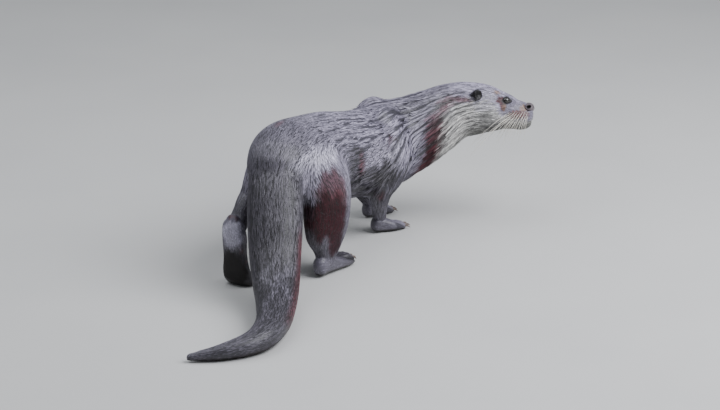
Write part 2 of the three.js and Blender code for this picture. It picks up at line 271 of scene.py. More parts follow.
class Limb:
    """Stations with a superellipse across each. hair is +1 if the coat lies towards the last of them."""

    def __init__(self, rows, lean=UP, hair=1, depth=(2.0, 2.0), squareness=2.15):
        rows = np.array(rows, float)
        self.middle, self.reach = placed(rows[:, :3]), rows[:, 3:] * MM
        self.lean = np.broadcast_to(lean, self.middle.shape)
        self.hair, self.squareness = hair, squareness
        self.last = len(rows) - 1
        stations = np.linspace(0, self.last, len(depth))
        self.depth = np.interp(np.arange(len(rows)), stations, depth)[:, None] * MM

    def sections(self, stations):
        """Middle, along, side and up of each section, and how far the skin reaches there."""
        middle = through(self.middle, stations)
        ahead = through(self.middle, np.minimum(stations + 0.01, self.last))
        behind = through(self.middle, np.maximum(stations - 0.01, 0))
        along = unit(ahead - behind)
        side = unit(np.cross(through(self.lean, stations), along))
        reach = np.maximum(through(self.reach - self.depth, stations), 0.3 * MM)
        return middle, along, side, np.cross(along, side), reach

    def spaced(self, step, start=0.0, stop=None):
        """Stations an even step of metres apart along the line."""
        fine = np.linspace(start, self.last if stop is None else stop, 400)
        path = through(self.middle, fine)
        length = np.concatenate([[0], np.cumsum(lengths(np.diff(path, axis=0)))])
        count = max(int(round(length[-1] / step)), 2) + 1
        return np.interp(np.linspace(0, length[-1], count), length, fine)


def lengths(vectors):
    """How long each vector is."""
    return np.linalg.norm(vectors, axis=-1)


def unit(vectors):
    """Vectors scaled to length 1."""
    return vectors / np.maximum(lengths(vectors)[..., None], 1e-12)


def angle_from(axis, offset, distance):
    """The angle of each offset, as long as its distance, from an axis."""
    return np.arccos(np.clip(offset @ axis / np.maximum(distance, 1e-9), -1, 1))


def bulge(values, squareness):
    """A circle's cosine or sine made into a superellipse's: the power 2/n of its size, sign kept."""
    return np.sign(values) * np.abs(values) ** (2 / squareness)


def superellipse(middle, side, up, reach, segments, squareness):
    """Points round each section: side reach by the cosine, up or down reach by the sine, squared off."""
    angle = np.arange(segments) / segments * 2 * math.pi
    across, rise = bulge(np.cos(angle), squareness), bulge(np.sin(angle), squareness)
    height = np.where(rise > 0, reach[:, 1:2], reach[:, 2:3]) * rise
    points = middle[:, None] + side[:, None] * (reach[:, :1] * across)[..., None]
    return (points + up[:, None] * height[..., None]).reshape(-1, 3)


def tube_faces(rings, segments):
    """Quads between rings of points, and fans onto the last two points: the far tip, then the near one."""
    ring, k = np.mgrid[0 : rings - 1, 0:segments]
    a, b = ring * segments + k, ring * segments + (k + 1) % segments
    quads = np.stack([a, b, b + segments, a + segments], -1).reshape(-1, 4)
    k = np.arange(segments)
    after, end = (k + 1) % segments, (rings - 1) * segments
    far, near = rings * segments + np.zeros_like(k), rings * segments + 1 + np.zeros_like(k)
    fans = np.concatenate([np.stack([near, after, k], -1), np.stack([far, end + k, end + after], -1)])
    return quads, fans


CAP_RINGS = 8  # rings in the dome at each end of a loft


def shell(limb, step=0.004, segments=40, dome=(0.9, 0.9), start=0.0, stop=None):
    """A closed loft of the skin, as points and faces.

    Each end is a quarter ellipse, whose length is dome's share of the end's reach.
    """
    middle, along, side, up, reach = limb.sections(limb.spaced(step, start, stop))
    turn = (np.arange(1, CAP_RINGS) / CAP_RINGS * math.pi / 2)[:, None]
    parts, tips = [[middle, side, up, reach]], []
    for end, way in ((-1, 1), (0, -1)):
        rise = along[end] * way * reach[end].mean() * dome[end]
        cap = [middle[end] + rise * np.sin(turn), side[end] + 0 * turn, up[end] + 0 * turn]
        cap.append(reach[end] * np.cos(turn))
        tips.append(middle[end] + rise)
        parts = parts + [cap] if end else [[value[::-1] for value in cap]] + parts
    middle, side, up, reach = (np.concatenate([part[k] for part in parts]) for k in range(4))
    points = superellipse(middle, side, up, reach, segments, limb.squareness)
    return np.vstack([points, tips]), *tube_faces(len(middle), segments)


def ball(behind, aside, above, half_sizes, segments=48):
    """An ellipsoid in the head's frame, as points and faces: circles of latitude round its own x axis."""
    turn = (np.arange(1, segments // 2) / (segments // 2) * math.pi)[:, None]
    angle = np.arange(segments) / segments * 2 * math.pi
    x = -np.cos(turn) + 0 * angle
    y, z = np.sin(turn) * np.cos(angle), np.sin(turn) * np.sin(angle)
    sphere = np.vstack([np.stack([x, y, z], -1).reshape(-1, 3), [[1, 0, 0], [-1, 0, 0]]])
    local = sphere * half_sizes
    points = in_head(behind - local[:, 0], aside + local[:, 1], above + local[:, 2])
    return placed(points), *tube_faces(len(turn), segments)


# ---- Meshes ----


def mesh_from(name, points, *face_arrays):
    """A mesh of points and of faces, given as arrays with one row a face."""
    mesh = bpy.data.meshes.new(name)
    corners = np.concatenate([faces.ravel() for faces in face_arrays])
    sizes = np.concatenate([np.full(len(faces), faces.shape[1]) for faces in face_arrays])
    mesh.vertices.add(len(points))
    mesh.vertices.foreach_set("co", np.ascontiguousarray(points, np.float32).ravel())
    mesh.loops.add(len(corners))
    mesh.loops.foreach_set("vertex_index", corners.astype(np.int32))
    mesh.polygons.add(len(sizes))
    mesh.polygons.foreach_set("loop_start", (np.cumsum(sizes) - sizes).astype(np.int32))
    mesh.update(calc_edges=True)
    return mesh


def joined(name, shells):
    """One mesh of several shells."""
    starts = np.cumsum([0] + [len(points) for points, *_ in shells])
    quads = np.concatenate([faces[0] + start for (_, *faces), start in zip(shells, starts)])
    fans = np.concatenate([faces[1] + start for (_, *faces), start in zip(shells, starts)])
    return mesh_from(name, np.concatenate([points for points, *_ in shells]), quads, fans)


def modified(mesh, kind, group=None, **settings):
    """The mesh after one modifier. group gives each vertex's weight in a vertex group."""
    carrier = bpy.data.objects.new("carrier", mesh)
    bpy.context.scene.collection.objects.link(carrier)
    modifier = carrier.modifiers.new(kind, kind)
    for name, value in settings.items():
        setattr(modifier, name, value)
    if group is not None:
        weights = carrier.vertex_groups.new(name="weights")
        for level in np.unique(group):
            weights.add(np.flatnonzero(group == level).tolist(), float(level), "REPLACE")
        modifier.vertex_group = "weights"
    shape = carrier.evaluated_get(bpy.context.evaluated_depsgraph_get())
    result = bpy.data.meshes.new_from_object(shape)
    bpy.data.objects.remove(carrier)
    bpy.data.meshes.remove(mesh)
    return result


def read(collection, name, width, kind=np.float32):
    """A property of a mesh's vertices, edges or triangles, as an array."""
    values = np.empty(len(collection) * width, kind)
    collection.foreach_get(name, values)
    return values.reshape(-1, width)


class Surface:
    """A mesh's points with its edges and triangles, for work on whole arrays."""

    def __init__(self, mesh):
        self.mesh = mesh
        self.points = read(mesh.vertices, "co", 3).astype(float)
        self.edges = read(mesh.edges, "vertices", 2, np.int32)
        mesh.calc_loop_triangles()
        self.triangles = read(mesh.loop_triangles, "vertices", 3, np.int32)
        self.valence = np.bincount(self.edges.ravel(), minlength=len(self.points))[:, None]

    def mean(self, values):
        """The mean of each point's neighbours."""
        a, b = self.edges.T
        total = [
            np.bincount(a, values[b, k], len(values)) + np.bincount(b, values[a, k], len(values))
            for k in range(values.shape[1])
        ]
        return np.stack(total, -1) / np.maximum(self.valence, 1)

    def face_normals(self):
        """Each triangle's normal, as long as twice its area."""
        a, b, c = (self.points[self.triangles[:, k]] for k in range(3))
        return np.cross(b - a, c - a)

    def normals(self):
        """Each point's normal: the sum of its triangles' normals, at length 1."""
        normal = self.face_normals()
        total = [
            sum(np.bincount(self.triangles[:, k], normal[:, axis], len(self.points)) for k in range(3))
            for axis in range(3)
        ]
        return unit(np.stack(total, -1))

    def fill_creases(self, rounds, share=0.5):
        """Moves points towards their neighbours' mean, but only outwards: hollows fill and swells stay."""
        for step in range(rounds):
            if step % 5 == 0:
                normal = self.normals()
            move = self.mean(self.points) - self.points
            out = np.maximum((move * normal).sum(1, keepdims=True), 0)
            self.points += share * out * normal

    def smooth(self, rounds, weight=1.0):
        """Evens out the steps of a voxel mesh. Each second round swells again what the first one shrank."""
        for step in range(rounds * 2):
            share = 0.5 if step % 2 == 0 else -0.52
            self.points += share * weight * (self.mean(self.points) - self.points)

    def done(self):
        """The mesh, with the points where they are now."""
        self.mesh.vertices.foreach_set("co", self.points.astype(np.float32).ravel())
        self.mesh.update()
        return self.mesh


def blended(name, shells, voxel, rounds, smoothing, subdivide=0):
    """Shells made one, by cubes of one size, with the creases between them filled."""
    mesh = modified(joined(name, shells), "REMESH", mode="VOXEL", voxel_size=voxel)
    surface = Surface(mesh)
    surface.fill_creases(rounds)
    surface.smooth(smoothing)
    mesh = surface.done()
    if subdivide:
        mesh = modified(mesh, "SUBSURF", levels=subdivide, render_levels=subdivide)
    return mesh


def shell_of(mesh):
    """A mesh as points and faces again. Its faces are all quads."""
    quads = read(mesh.loops, "vertex_index", 1, np.int32).reshape(-1, 4)
    points = read(mesh.vertices, "co", 3).astype(float)
    bpy.data.meshes.remove(mesh)
    return points, quads, np.zeros((0, 3), int)


# ---- The animal's lines ----

FOOT_LEAN = [FORWARD] * 5 + [np.array([0.8, 0, 0.6]), UP, UP]
SPINE_LEAN = [UP] * 10 + [head_up] * 9
SPINE_DEPTH = [1.6, 1.6, 1.6, 1.8, 2.2, 2.8, 3, 3, 2.8, 2.5, 2.2, 1.9, 1.5, 1.2, 1, 0.8, 0.6, 0.5, 0.5]

LIMBS = {
    "spine": Limb(SPINE, SPINE_LEAN, -1, SPINE_DEPTH),
    "tail": Limb(TAIL, UP, -1, (0.8, 1.6), 2.2),
}
for side in SIDES:
    LIMBS[f"thigh_{side}"] = Limb(THIGH[side], FORWARD, 1, (1.6, 1.4))
    LIMBS[f"shank_{side}"] = Limb(SHANK[side], UP if side == "left" else FORWARD, 1, (1.4, 0.8))
    foot_lean = FOOT_LEAN if side == "left" else UP
    LIMBS[f"hind_foot_{side}"] = Limb(HIND_FOOT[side], foot_lean, 1, (0.7, 0.3), 2.4)
    LIMBS[f"upper_arm_{side}"] = Limb(UPPER_ARM[side], FORWARD, 1, (2.4, 1.4))
    LIMBS[f"forearm_{side}"] = Limb(FOREARM[side], FORWARD, 1, (1.4, 0.7))
    LIMBS[f"forepaw_{side}"] = Limb(FOREPAW[side], UP, 1, (0.7, 0.3), 2.4)


def toe_lines(foot):
    """Each toe's and claw's stations: along a ray of the foot's fan, over the knuckle, down at the tip."""
    lines = []
    pad, claw = foot["toe"] * PAD_SHARE, foot["claw"]
    for k, share in enumerate(TOE_SHARES):
        turn = math.radians(foot["heading"] + (2 - k) / 2 * foot["spread"] * foot["inner"])
        reach = foot["toe"] * share
        tip = reach + pad * 0.7
        toe = [
            (reach * 0.3, pad * 1.5, pad * 0.8, pad),
            (reach * 0.75, pad * 1.65, pad * 0.85, pad * 1.05),
            (reach, pad - 1, pad, pad),
        ]
        nail = [
            (reach + pad * 0.3, pad * 1.25, pad * 0.34, pad * 0.42),
            (tip + claw * 0.45, pad * 1.15, pad * 0.24, pad * 0.3),
            (tip + claw, pad * 0.5, pad * 0.1, pad * 0.1),
        ]
        lines.append([[along_ray(foot["root"], turn, *row) for row in rows] for rows in (toe, nail)])
    return lines


def along_ray(root, turn, far, high, wide, tall):
    """A station far out from a root on a heading, with its height and its reaches."""
    return (root[0] + math.cos(turn) * far, root[1] + math.sin(turn) * far, high, wide, tall, tall)


# ---- Skin ----

CHEEK = (80, 19, -6, (30, 27, 30))
BROW = (49, 15.5, 13.5, (17, 12.5, 11))
WHISKER_PAD = (22, 10.5, -12, (17, 14.5, 14))
CHIN = (23, 0, -23.5, (20, 13, 11.5))
EAR = {"behind": 96.5, "aside": 40.5, "above": 29.5, "half": 9.5}
# The dark hair behind each ear: where (behind, aside, above), how much longer, and extra lift
EAR_TUFT = {"middle": (99.5, 40.5, 31.5), "half_sizes": (10, 11, 11), "longer": 0.9, "raised": 1.6}
FACE_DEPTH = 0.7  # how far the face's skin lies inside the coat, in millimetres
HEAD_LENGTH = 140  # how far behind the nose's tip the mesh is fine, in millimetres
HEAD_FADE = 30
BODY_DETAIL = 0.2


def swell(behind, aside, above, half_sizes, side=1):
    """A rounded muscle or pad of the head, less the coat's depth."""
    return ball(behind, side * aside, above, np.array(half_sizes) - FACE_DEPTH)


def core_shells():
    """Trunk, tail, thighs, shanks and arms."""
    shells = [shell(LIMBS["spine"], dome=(0.6, 0.3), stop=11.0), shell(LIMBS["tail"], dome=(1.2, 0.5))]
    for name, limb in LIMBS.items():
        if name.startswith(("thigh", "shank", "upper_arm", "forearm")):
            shells.append(shell(limb))
    return shells


def head_shells():
    """The skull from the nape to the muzzle, with cheeks, brows, whisker pads and chin."""
    shells = [shell(LIMBS["spine"], step=0.002, segments=72, dome=(0.3, 0.45), start=NAPE), swell(*CHIN)]
    for side in SIDES.values():
        shells += [swell(*muscle, side) for muscle in (CHEEK, BROW, WHISKER_PAD)]
    return shells


def foot_shells(name):
    """A sole and web with its toes."""
    toes = [shell(Limb(toe, depth=(0.3, 0.3)), 0.001, 24, (0, 0.9)) for toe, _ in toe_lines(FEET[name])]
    return [shell(LIMBS[name], 0.002, 40, (0.9, 0.8)), *toes]


def skin_mesh():
    """One skin: big forms blended at 4 mm, head and feet finer, then all made one at 1.3 mm and thinned."""
    shells = [
        shell_of(blended("core", core_shells(), 0.004, 60, 4, 2)),
        shell_of(blended("head", head_shells(), 0.002, 40, 3, 1)),
    ]
    for name in FEET:
        shells.append(shell_of(blended(name, foot_shells(name), 0.0011, 3, 1)))
    for side in SIDES.values():
        half = EAR["half"] - FACE_DEPTH / 2
        shells.append(ball(EAR["behind"], side * EAR["aside"], EAR["above"], (half - 1, half, half)))
    mesh = modified(joined("skin", shells), "REMESH", mode="VOXEL", voxel_size=SKIN_VOXEL)
    surface = Surface(mesh)
    surface.fill_creases(12, 0.5 * (1 - on_feet(surface.points))[:, None])
    surface.smooth(3, (1 - 0.7 * on_feet(surface.points))[:, None])
    surface.points[:, 2] = np.maximum(surface.points[:, 2], FLOOR_GAP)
    fine = near_detail(surface.points)
    share = min(SKIN_TRIANGLES / len(surface.triangles), 1)
    return sculpted(modified(surface.done(), "DECIMATE", group=1 - fine, ratio=share))


def on_feet(points):
    """1 near the floor on the feet, falling to 0 above the ankles."""
    low = np.clip((ANKLE - points[:, 2]) / ANKLE_FADE, 0, 1)
    return low * (points[:, 0] > placed([BEHIND_FEET, 0, 0])[0])


def near_detail(points):
    """1 on the head and the feet, which keep their fine mesh, falling to BODY_DETAIL on the body."""
    head = np.clip((HEAD_LENGTH - head_view(points)[:, 0]) / HEAD_FADE, 0, 1)
    return np.round(BODY_DETAIL + (1 - BODY_DETAIL) * np.maximum(head, on_feet(points)), 1)


# ---- Lids, lips and ears ----

GAZE = {"ahead": 0.22, "aside": 0.9, "above": 0.36}
LID = 0.75  # how thick a lid is over the eyeball, in millimetres
LID_CUT = 1.4  # in the opening the skin is cut back this far inside the eyeball's surface
LID_EDGE = {"rim": 1.2, "half_width": 0.14, "raised": 0.5}  # the upper lid's edge, in shares of the rim
LID_FOLD = {"rim": 1.55, "half_width": 0.12, "depth": 0.5}  # the fold above it
EYE_REACH = 11  # how far from an eye's middle its lids go, in millimetres
EYE_DETAIL = (15, 12)  # the skin's mesh is halved inside each of these distances
OPENING = {"ahead": 1.0, "behind": 0.9, "above": 0.92, "below": 0.82}  # half the eye's opening, in radians
LIP_LINE = np.array([(0, -19), (8, -19), (16, -19), (28, -18), (40, -15), (50, -11)])  # behind, above
LIP_ENDS = (48, 53)  # how far behind the nose's tip the line between the lips fades out
LIP_GROOVE = {"half_width": 1.1, "depth": 1.3, "set_back": 0.8, "fades": 5}
PHILTRUM = {"half_width": 1.0, "depth": 0.8, "length": 14, "foot": (-20, -18), "top": (-9, -5)}
FACE_MIDDLE, FACE_REACH = (50, 0, 0), 75  # the ball of the head in which the skin is carved
EAR_MOUTH = {"ahead": 0.45, "aside": 0.86, "above": 0.12}
EAR_BOWL = {"half_angle": 1.0, "depth": 6.5, "reach": 13}
# Behind each nostril the skin is pressed in, most inside the first reach and not outside the second
NOSTRIL_BED = {"behind": 10, "aside": 11, "above": 4.5, "depth": 7.5, "reach": (5, 8.5)}


def head_direction(ahead, aside, above, side):
    """A unit direction in the head's (behind, aside, above) coordinates."""
    return unit(np.array([-ahead, side * aside, above]))


def refined(mesh, near):
    """Halves the edges whose two ends are near, and leaves only triangles."""
    shape = bmesh.new()
    shape.from_mesh(mesh)
    chosen = near(np.array([vertex.co for vertex in shape.verts]))
    shape.verts.ensure_lookup_table()
    edges = [edge for edge in shape.edges if all(chosen[vertex.index] for vertex in edge.verts)]
    bmesh.ops.subdivide_edges(shape, edges=edges, cuts=1, use_grid_fill=True)
    bmesh.ops.triangulate(shape, faces=shape.faces[:])
    shape.to_mesh(mesh)
    shape.free()
    return mesh


def eye_places():
    """Each eye's middle in the head's coordinates, with the way it looks."""
    for side in SIDES.values():
        middle = np.array([EYE["behind"], side * EYE["aside"], EYE["above"]])
        yield middle, head_direction(**GAZE, side=side)


def around_eye(view, middle, gaze):
    """Points round an eye: distance from its middle, angle as a share of the rim's, height and offset."""
    offset = view - middle
    distance = lengths(offset)
    level = unit(np.cross(gaze, [0, 0, 1]))
    level *= -np.sign(level[0])  # points ahead
    rise = np.cross(gaze, level)
    rise *= np.sign(rise[2])
    x, y = offset @ level, offset @ rise
    spread = np.maximum(np.hypot(x, y), 1e-9)
    wide = np.where(x > 0, OPENING["ahead"], OPENING["behind"])
    tall = np.where(y > 0, OPENING["above"], OPENING["below"])
    rim = np.hypot(x / spread / wide, y / spread / tall)
    return distance, angle_from(gaze, offset, distance) * rim, y, offset


def smooth_step(low, high, values):
    """0 below low and 1 above high, with an even bend between."""
    t = np.clip((values - low) / (high - low), 0, 1)
    return t * t * (3 - 2 * t)


def lips(view):
    """How far points lie above the line between the lips, and how fully that line is there."""
    gap = view[:, 2] - np.interp(view[:, 0], *LIP_LINE.T)
    return gap, 1 - smooth_step(*LIP_ENDS, view[:, 0])


def in_millimetres(view):
    """From the head's (behind, aside, above) back to metres in the frame."""
    return placed(in_head(*view.T))


def hump(values, middle, half_width):
    """1 at the middle, falling off on both sides: e to minus the square of the distance in half widths."""
    return np.exp(-(((values - middle) / half_width) ** 2))


def with_lips(view, normal):
    """The head's points with the line of the lips and the groove under the nose pressed in."""
    local = lengths(view - FACE_MIDDLE) < FACE_REACH
    gap, there = lips(view)
    groove = hump(gap, 0, LIP_GROOVE["half_width"]) * there
    under = np.exp(-np.maximum(-gap, 0) / LIP_GROOVE["fades"]) * (gap < 0) * there
    cleft = hump(view[:, 1], 0, PHILTRUM["half_width"]) * (view[:, 0] < PHILTRUM["length"])
    cleft *= smooth_step(*PHILTRUM["foot"], view[:, 2])
    cleft *= 1 - smooth_step(*PHILTRUM["top"], view[:, 2])
    depth = LIP_GROOVE["depth"] * groove + LIP_GROOVE["set_back"] * under + PHILTRUM["depth"] * cleft
    return view - normal * depth[:, None] * local[:, None]


def with_lids(view, middle, gaze):
    """The head's points with one eye's lids laid round its ball and its opening cut free."""
    distance, rim, height, offset = around_eye(view, middle, gaze)
    edge = LID_EDGE["raised"] * hump(rim, LID_EDGE["rim"], LID_EDGE["half_width"]) * (height > 0)
    out = EYE["radius"] + LID + edge
    lid = np.where(rim < 1, EYE["radius"] - LID_CUT, np.maximum(distance, out))
    fold = LID_FOLD["depth"] * hump(rim, LID_FOLD["rim"], LID_FOLD["half_width"])
    fold *= smooth_step(0, 2, height)
    reach = np.where(distance < EYE_REACH, lid, distance) - fold * (distance < EYE_REACH + 1)
    facing = (offset @ gaze > 0)[:, None]
    return np.where(facing, middle + offset * (reach / np.maximum(distance, 1e-9))[:, None], view)


def with_ear_mouth(view, side):
    """The head's points with one ear's bowl cut in."""
    offset = view - [EAR["behind"], side * EAR["aside"], EAR["above"]]
    distance = lengths(offset)
    turned = angle_from(head_direction(**EAR_MOUTH, side=side), offset, distance) / EAR_BOWL["half_angle"]
    bowl = EAR_BOWL["depth"] * np.sqrt(np.clip(1 - turned**2, 0, 1)) * (distance < EAR_BOWL["reach"])
    return view - offset * (bowl / np.maximum(distance, 1e-9))[:, None]


def with_nostril_bed(view, normal, side):
    """The head's points with the skin pressed in behind one nostril."""
    away = lengths(view - [NOSTRIL_BED["behind"], side * NOSTRIL_BED["aside"], NOSTRIL_BED["above"]])
    depth = NOSTRIL_BED["depth"] * (1 - smooth_step(*NOSTRIL_BED["reach"], away))
    return view - normal * depth[:, None]


# Where the face's mesh is refined, in the head's millimetres: back from the nose, below and over the lips'
# line, aside and up. The skin is smoothed as far as SMOOTH_BROW before and behind the eyes
FINE_FACE = {"length": 52, "below": 4, "over": 22, "aside": 34, "top": 4}
SMOOTH_BROW = 20


def sculpted(mesh):
    """The skin with its lids, lips, the groove under the nose and the ears' mouths."""
    eyes = list(eye_places())

    def on_face(points):
        return face_line(head_view(points))

    def by_eyes(reach):
        return lambda points: np.min([lengths(head_view(points) - middle) for middle, _ in eyes], 0) < reach

    for near in (on_face, *map(by_eyes, EYE_DETAIL)):
        mesh = refined(mesh, near)
    surface = Surface(mesh)
    view = head_view(surface.points)
    on_head = (lengths(view - FACE_MIDDLE) < FACE_REACH)[:, None]
    surface.smooth(2, (np.abs(view[:, :1] - EYE["behind"]) < SMOOTH_BROW) * on_head * 1.0)
    view = head_view(surface.points)
    normal = surface.normals() @ HEAD.T * [-1, 1, 1]
    view = with_lips(view, normal)
    for middle, gaze in eyes:
        view = with_lids(view, middle, gaze)
    for side in SIDES.values():
        view = with_nostril_bed(with_ear_mouth(view, side), normal, side)
    surface.points = in_millimetres(view)
    surface.points[:, 2] = np.maximum(surface.points[:, 2], FLOOR_GAP)
    return surface.done()


def face_line(view):
    """Near the lips' line or on the whisker pads."""
    gap = lips(view)[0]
    there = (view[:, 0] < FINE_FACE["length"]) & (gap > -FINE_FACE["below"]) & (gap < FINE_FACE["over"])
    return there & (np.abs(view[:, 1]) < FINE_FACE["aside"]) & (view[:, 2] < FINE_FACE["top"])


# ---- The lie of the coat: fields over the skin ----

# For each line, rows of: station, then a lock's length, width and lift, the space between locks, all in
# millimetres, how far their tips draw together, and the gap between the ribbons that they draw into
COAT = {
    "spine": [
        (0, 13, 1.5, 0.4, 3.4, 0.2, 4.5),
        (2, 13, 1.5, 0.4, 3.4, 0.25, 4.5),
        (3.5, 14, 1.6, 0.5, 3.3, 0.5, 5),
        (5, 16, 1.8, 0.9, 3.2, 0.75, 5.5),
        (7, 20, 2.0, 1.5, 3.0, 0.9, 6.5),
        (9, 19, 1.9, 1.5, 2.8, 0.9, 6.5),
        (11, 14, 1.5, 1.0, 2.4, 0.85, 5),
        (12, 9, 1.2, 0.7, 2.05, 0.8, 4.2),
        (13.5, 6.5, 1.0, 0.5, 1.85, 0.75, 3.6),
        (15, 4.4, 0.75, 0.35, 1.55, 0.65, 2.9),
        (16.5, 2.8, 0.55, 0.22, 1.35, 0.4, 2.2),
        (18, 1.8, 0.45, 0.12, 1.3, 0.2, 2),
    ],
    "tail": [(0, 8, 1.1, 0.2, 3.1, 0.35, 4), (9, 16, 1.6, 0.4, 4.0, 0.4, 5)],
    "thigh": [(0, 16, 1.5, 0.35, 3.5, 0.3, 4.5), (4, 12, 1.3, 0.3, 3.1, 0.3, 4)],
    "shank": [(0, 10, 1.2, 0.3, 2.9, 0.4, 4), (4, 6, 0.9, 0.25, 2.4, 0.35, 3)],
    "hind_foot": [(0, 5, 0.75, 0.2, 2.0, 0.3, 3), (6, 3, 0.55, 0.12, 1.8, 0.2, 2.5)],
    "upper_arm": [(0, 18, 1.9, 1.2, 3.2, 0.8, 6), (4, 11, 1.4, 0.8, 2.7, 0.7, 5)],
    "forearm": [(0, 11, 1.3, 0.7, 2.5, 0.65, 4.5), (4, 6, 0.9, 0.3, 2.2, 0.5, 3)],
    "forepaw": [(0, 4, 0.65, 0.2, 1.9, 0.3, 2.5), (4, 2.5, 0.5, 0.12, 1.7, 0.2, 2)],
}
# How the coat at a limb's top still follows the trunk: station, and the limb's say there
GRIP = {"thigh": ([0.3, 2.2], [0.1, 1]), "upper_arm": ([0.6, 3.6], [0.05, 1])}
REACH_OF_BLEND = 6 * MM  # a line's say over the skin falls by e over this distance outside its loft
REACH_OF_LINE = 50 * MM  # further outside its loft it has none


def on_line(limb, points):
    """Each point's station, angle round the line and distance outside the loft, and the line's heading."""
    stations = limb.spaced(0.004)
    middle, along, side, up, reach = limb.sections(stations)
    squares = (middle**2).sum(1)
    nearest = np.argmin(squares - 2 * points @ middle.T, 1)
    offset = points - middle[nearest]
    ahead = (offset * along[nearest]).sum(1)
    across, rise = (offset * side[nearest]).sum(1), (offset * up[nearest]).sum(1)
    tall = np.where(rise > 0, reach[nearest, 1], reach[nearest, 2])
    n = limb.squareness
    level = (np.abs(across / reach[nearest, 0]) ** n + np.abs(rise / tall) ** n) ** (1 / n)
    past = np.where(nearest == 0, -ahead, np.where(nearest == len(middle) - 1, ahead, 0))
    outside = (level - 1) * (reach[nearest, 0] + tall) / 2 + np.maximum(past, 0)
    arc = np.concatenate([[0], np.cumsum(lengths(np.diff(middle, axis=0)))])
    station = np.interp(arc[nearest] + ahead, arc, stations)
    return station, np.arctan2(rise, across), outside, along[nearest]


def kind_of(limb):
    """A line's name without its side."""
    return limb.removesuffix("_right").removesuffix("_left")


class Lie:
    """Over a set of points: each line's say, the way the hair lies, and the sizes of its locks."""

    def __init__(self, points):
        count = len(points)
        self.say = np.zeros((len(LIMBS), count))
        self.station, self.angle = np.zeros_like(self.say), np.zeros_like(self.say)
        self.hair, self.locks = np.zeros((count, 3)), np.zeros((count, 6))
        for k, (name, limb) in enumerate(LIMBS.items()):
            margin = limb.reach.max() + REACH_OF_LINE
            low, high = limb.middle.min(0) - margin, limb.middle.max(0) + margin
            near = np.flatnonzero(((points > low) & (points < high)).all(1))
            station, angle, outside, along = on_line(limb, points[near])
            say = np.exp(-np.clip(outside, -0.01, 1) / REACH_OF_BLEND)
            self.say[k, near], self.station[k, near], self.angle[k, near] = say, station, angle
            kind = kind_of(name)
            grip = np.interp(station, *GRIP[kind]) if kind in GRIP else 1.0
            self.hair[near] += (say * grip)[:, None] * along * limb.hair
            rows = np.array(COAT[kind])
            sizes = np.stack([np.interp(station, rows[:, 0], column) for column in rows[:, 1:].T], -1)
            self.locks[near] += say[:, None] * sizes
        self.locks /= self.say.sum(0)[:, None]
        self.owner = self.say.argmax(0)
        self.normal = np.zeros_like(points)

    def along_owner(self, values):
        """Each point's value for the line that it belongs to."""
        return values[self.owner, np.arange(values.shape[1])]


DROOP = 0.35  # how much wet hair on the flanks is drawn down, against its run along the body
FLANKS = ([2, 5, 9, 12], [0, 1, 1, 0.3])  # station of the spine, and the share of that droop
EVENING = 12  # rounds in which each point's heading is mixed with its neighbours'


def hair_lie(surface, lie):
    """The hair's heading at each point: along its line, a little down, laid in the skin and evened out."""
    normal = surface.normals()
    heading = unit(lie.hair)
    spine = lie.say[0] / lie.say.sum(0)
    flank = spine * np.clip(1 - np.abs(normal[:, 2]), 0, 1) * np.interp(lie.station[0], *FLANKS)
    heading -= UP * (DROOP * flank)[:, None]
    for _ in range(EVENING):
        heading = unit(heading - normal * (heading * normal).sum(1, keepdims=True))
        heading = 0.4 * heading + 0.6 * surface.mean(heading)
    return unit(heading - normal * (heading * normal).sum(1, keepdims=True)), normal


# ---- Markings, painted sheen and painted shade: one colour field for skin and coat ----

COLOURS = {
    # back: the coat's own grey, with the sky's lavender sheen on the wet hair painted in
    "back": (0.31, 0.288, 0.37),
    # dark_coat_and_shade: the dark brown coat of legs, tail and belly, also laid on as painted shade
    "dark_coat_and_shade": (0.045, 0.041, 0.044),
    "pale": (0.52, 0.51, 0.49),
    # under: painted shade under the pale throat, jaw and chin
    "under": (0.20, 0.20, 0.18),
    # sheen and gleam: painted highlights, where the sky shines on the wet coat
    "sheen": (0.40, 0.37, 0.47),
    "gleam": (0.66, 0.63, 0.77),
    "maroon": (0.12, 0.034, 0.044),
    # red_in_shade: the dark red fur deep in painted shade
    "red_in_shade": (0.046, 0.007, 0.012),
    # dark: the dark skin of the lids' rims and the whiskers' roots, also laid on as painted shade in the
    # ears' bowls and by the nose
    "dark": (0.010, 0.008, 0.009),
    "pink": (0.25, 0.13, 0.135),
    "tan": (0.34, 0.20, 0.12),
    "sole": (0.020, 0.016, 0.016),
}
# How much of the back's colour each line has, as station and share, the rest being the dark coat's colour.
# The shares were matched to the lit coat, so besides its own tones they hold painted sheen and painted
# shade
BACK_SHARE = {
    "spine": [
        (0, 0.3), (1.4, 0.5), (2.6, 0.95), (3.6, 1.08), (5.6, 1.03), (7, 0.8), (9.5, 0.72),
        (10.4, 0.75), (11, 1.3), (13.5, 1.45), (15, 1.15), (16.5, 0.85), (18, 1.0),
    ],
    "tail": [(0, 0.4), (4, 0.14), (9, 0.2)],
    "thigh": [(0, 0.9), (1, 1.15), (2.5, 0.8), (4, 0.4)],
    "shank": [(0, 0.4), (4, 0.2)],
    "hind_foot": [(0, 0.8), (2, 0.5), (3.5, 0.12), (7, 0.1)],
    "upper_arm": [(0, 0.95), (1.3, 1), (2.3, 0.35), (4, 0.25)],
    "forearm": [(0, 0.25), (4, 0.4)],
    "forepaw": [(0, 0.5), (4, 0.7)],
}
BLACKEST = 0.004  # no channel of the coat's colour falls below this before it is shaded
FACE_STREAKS = (11.5, 13.5)  # stations of the spine between which the head's streaks come in
# Below this height round the neck and head, in radians over the side, the coat is pale: station and height
PALE_LINE = [
    (8.4, -0.9), (8.9, 0.3), (9.2, 0.6), (10.8, 0.5), (13, 0.44), (13.9, 0.22), (14.5, -0.1), (18, -0.5),
]
THROAT_START = 8.3  # the spine's station, behind which no throat is pale
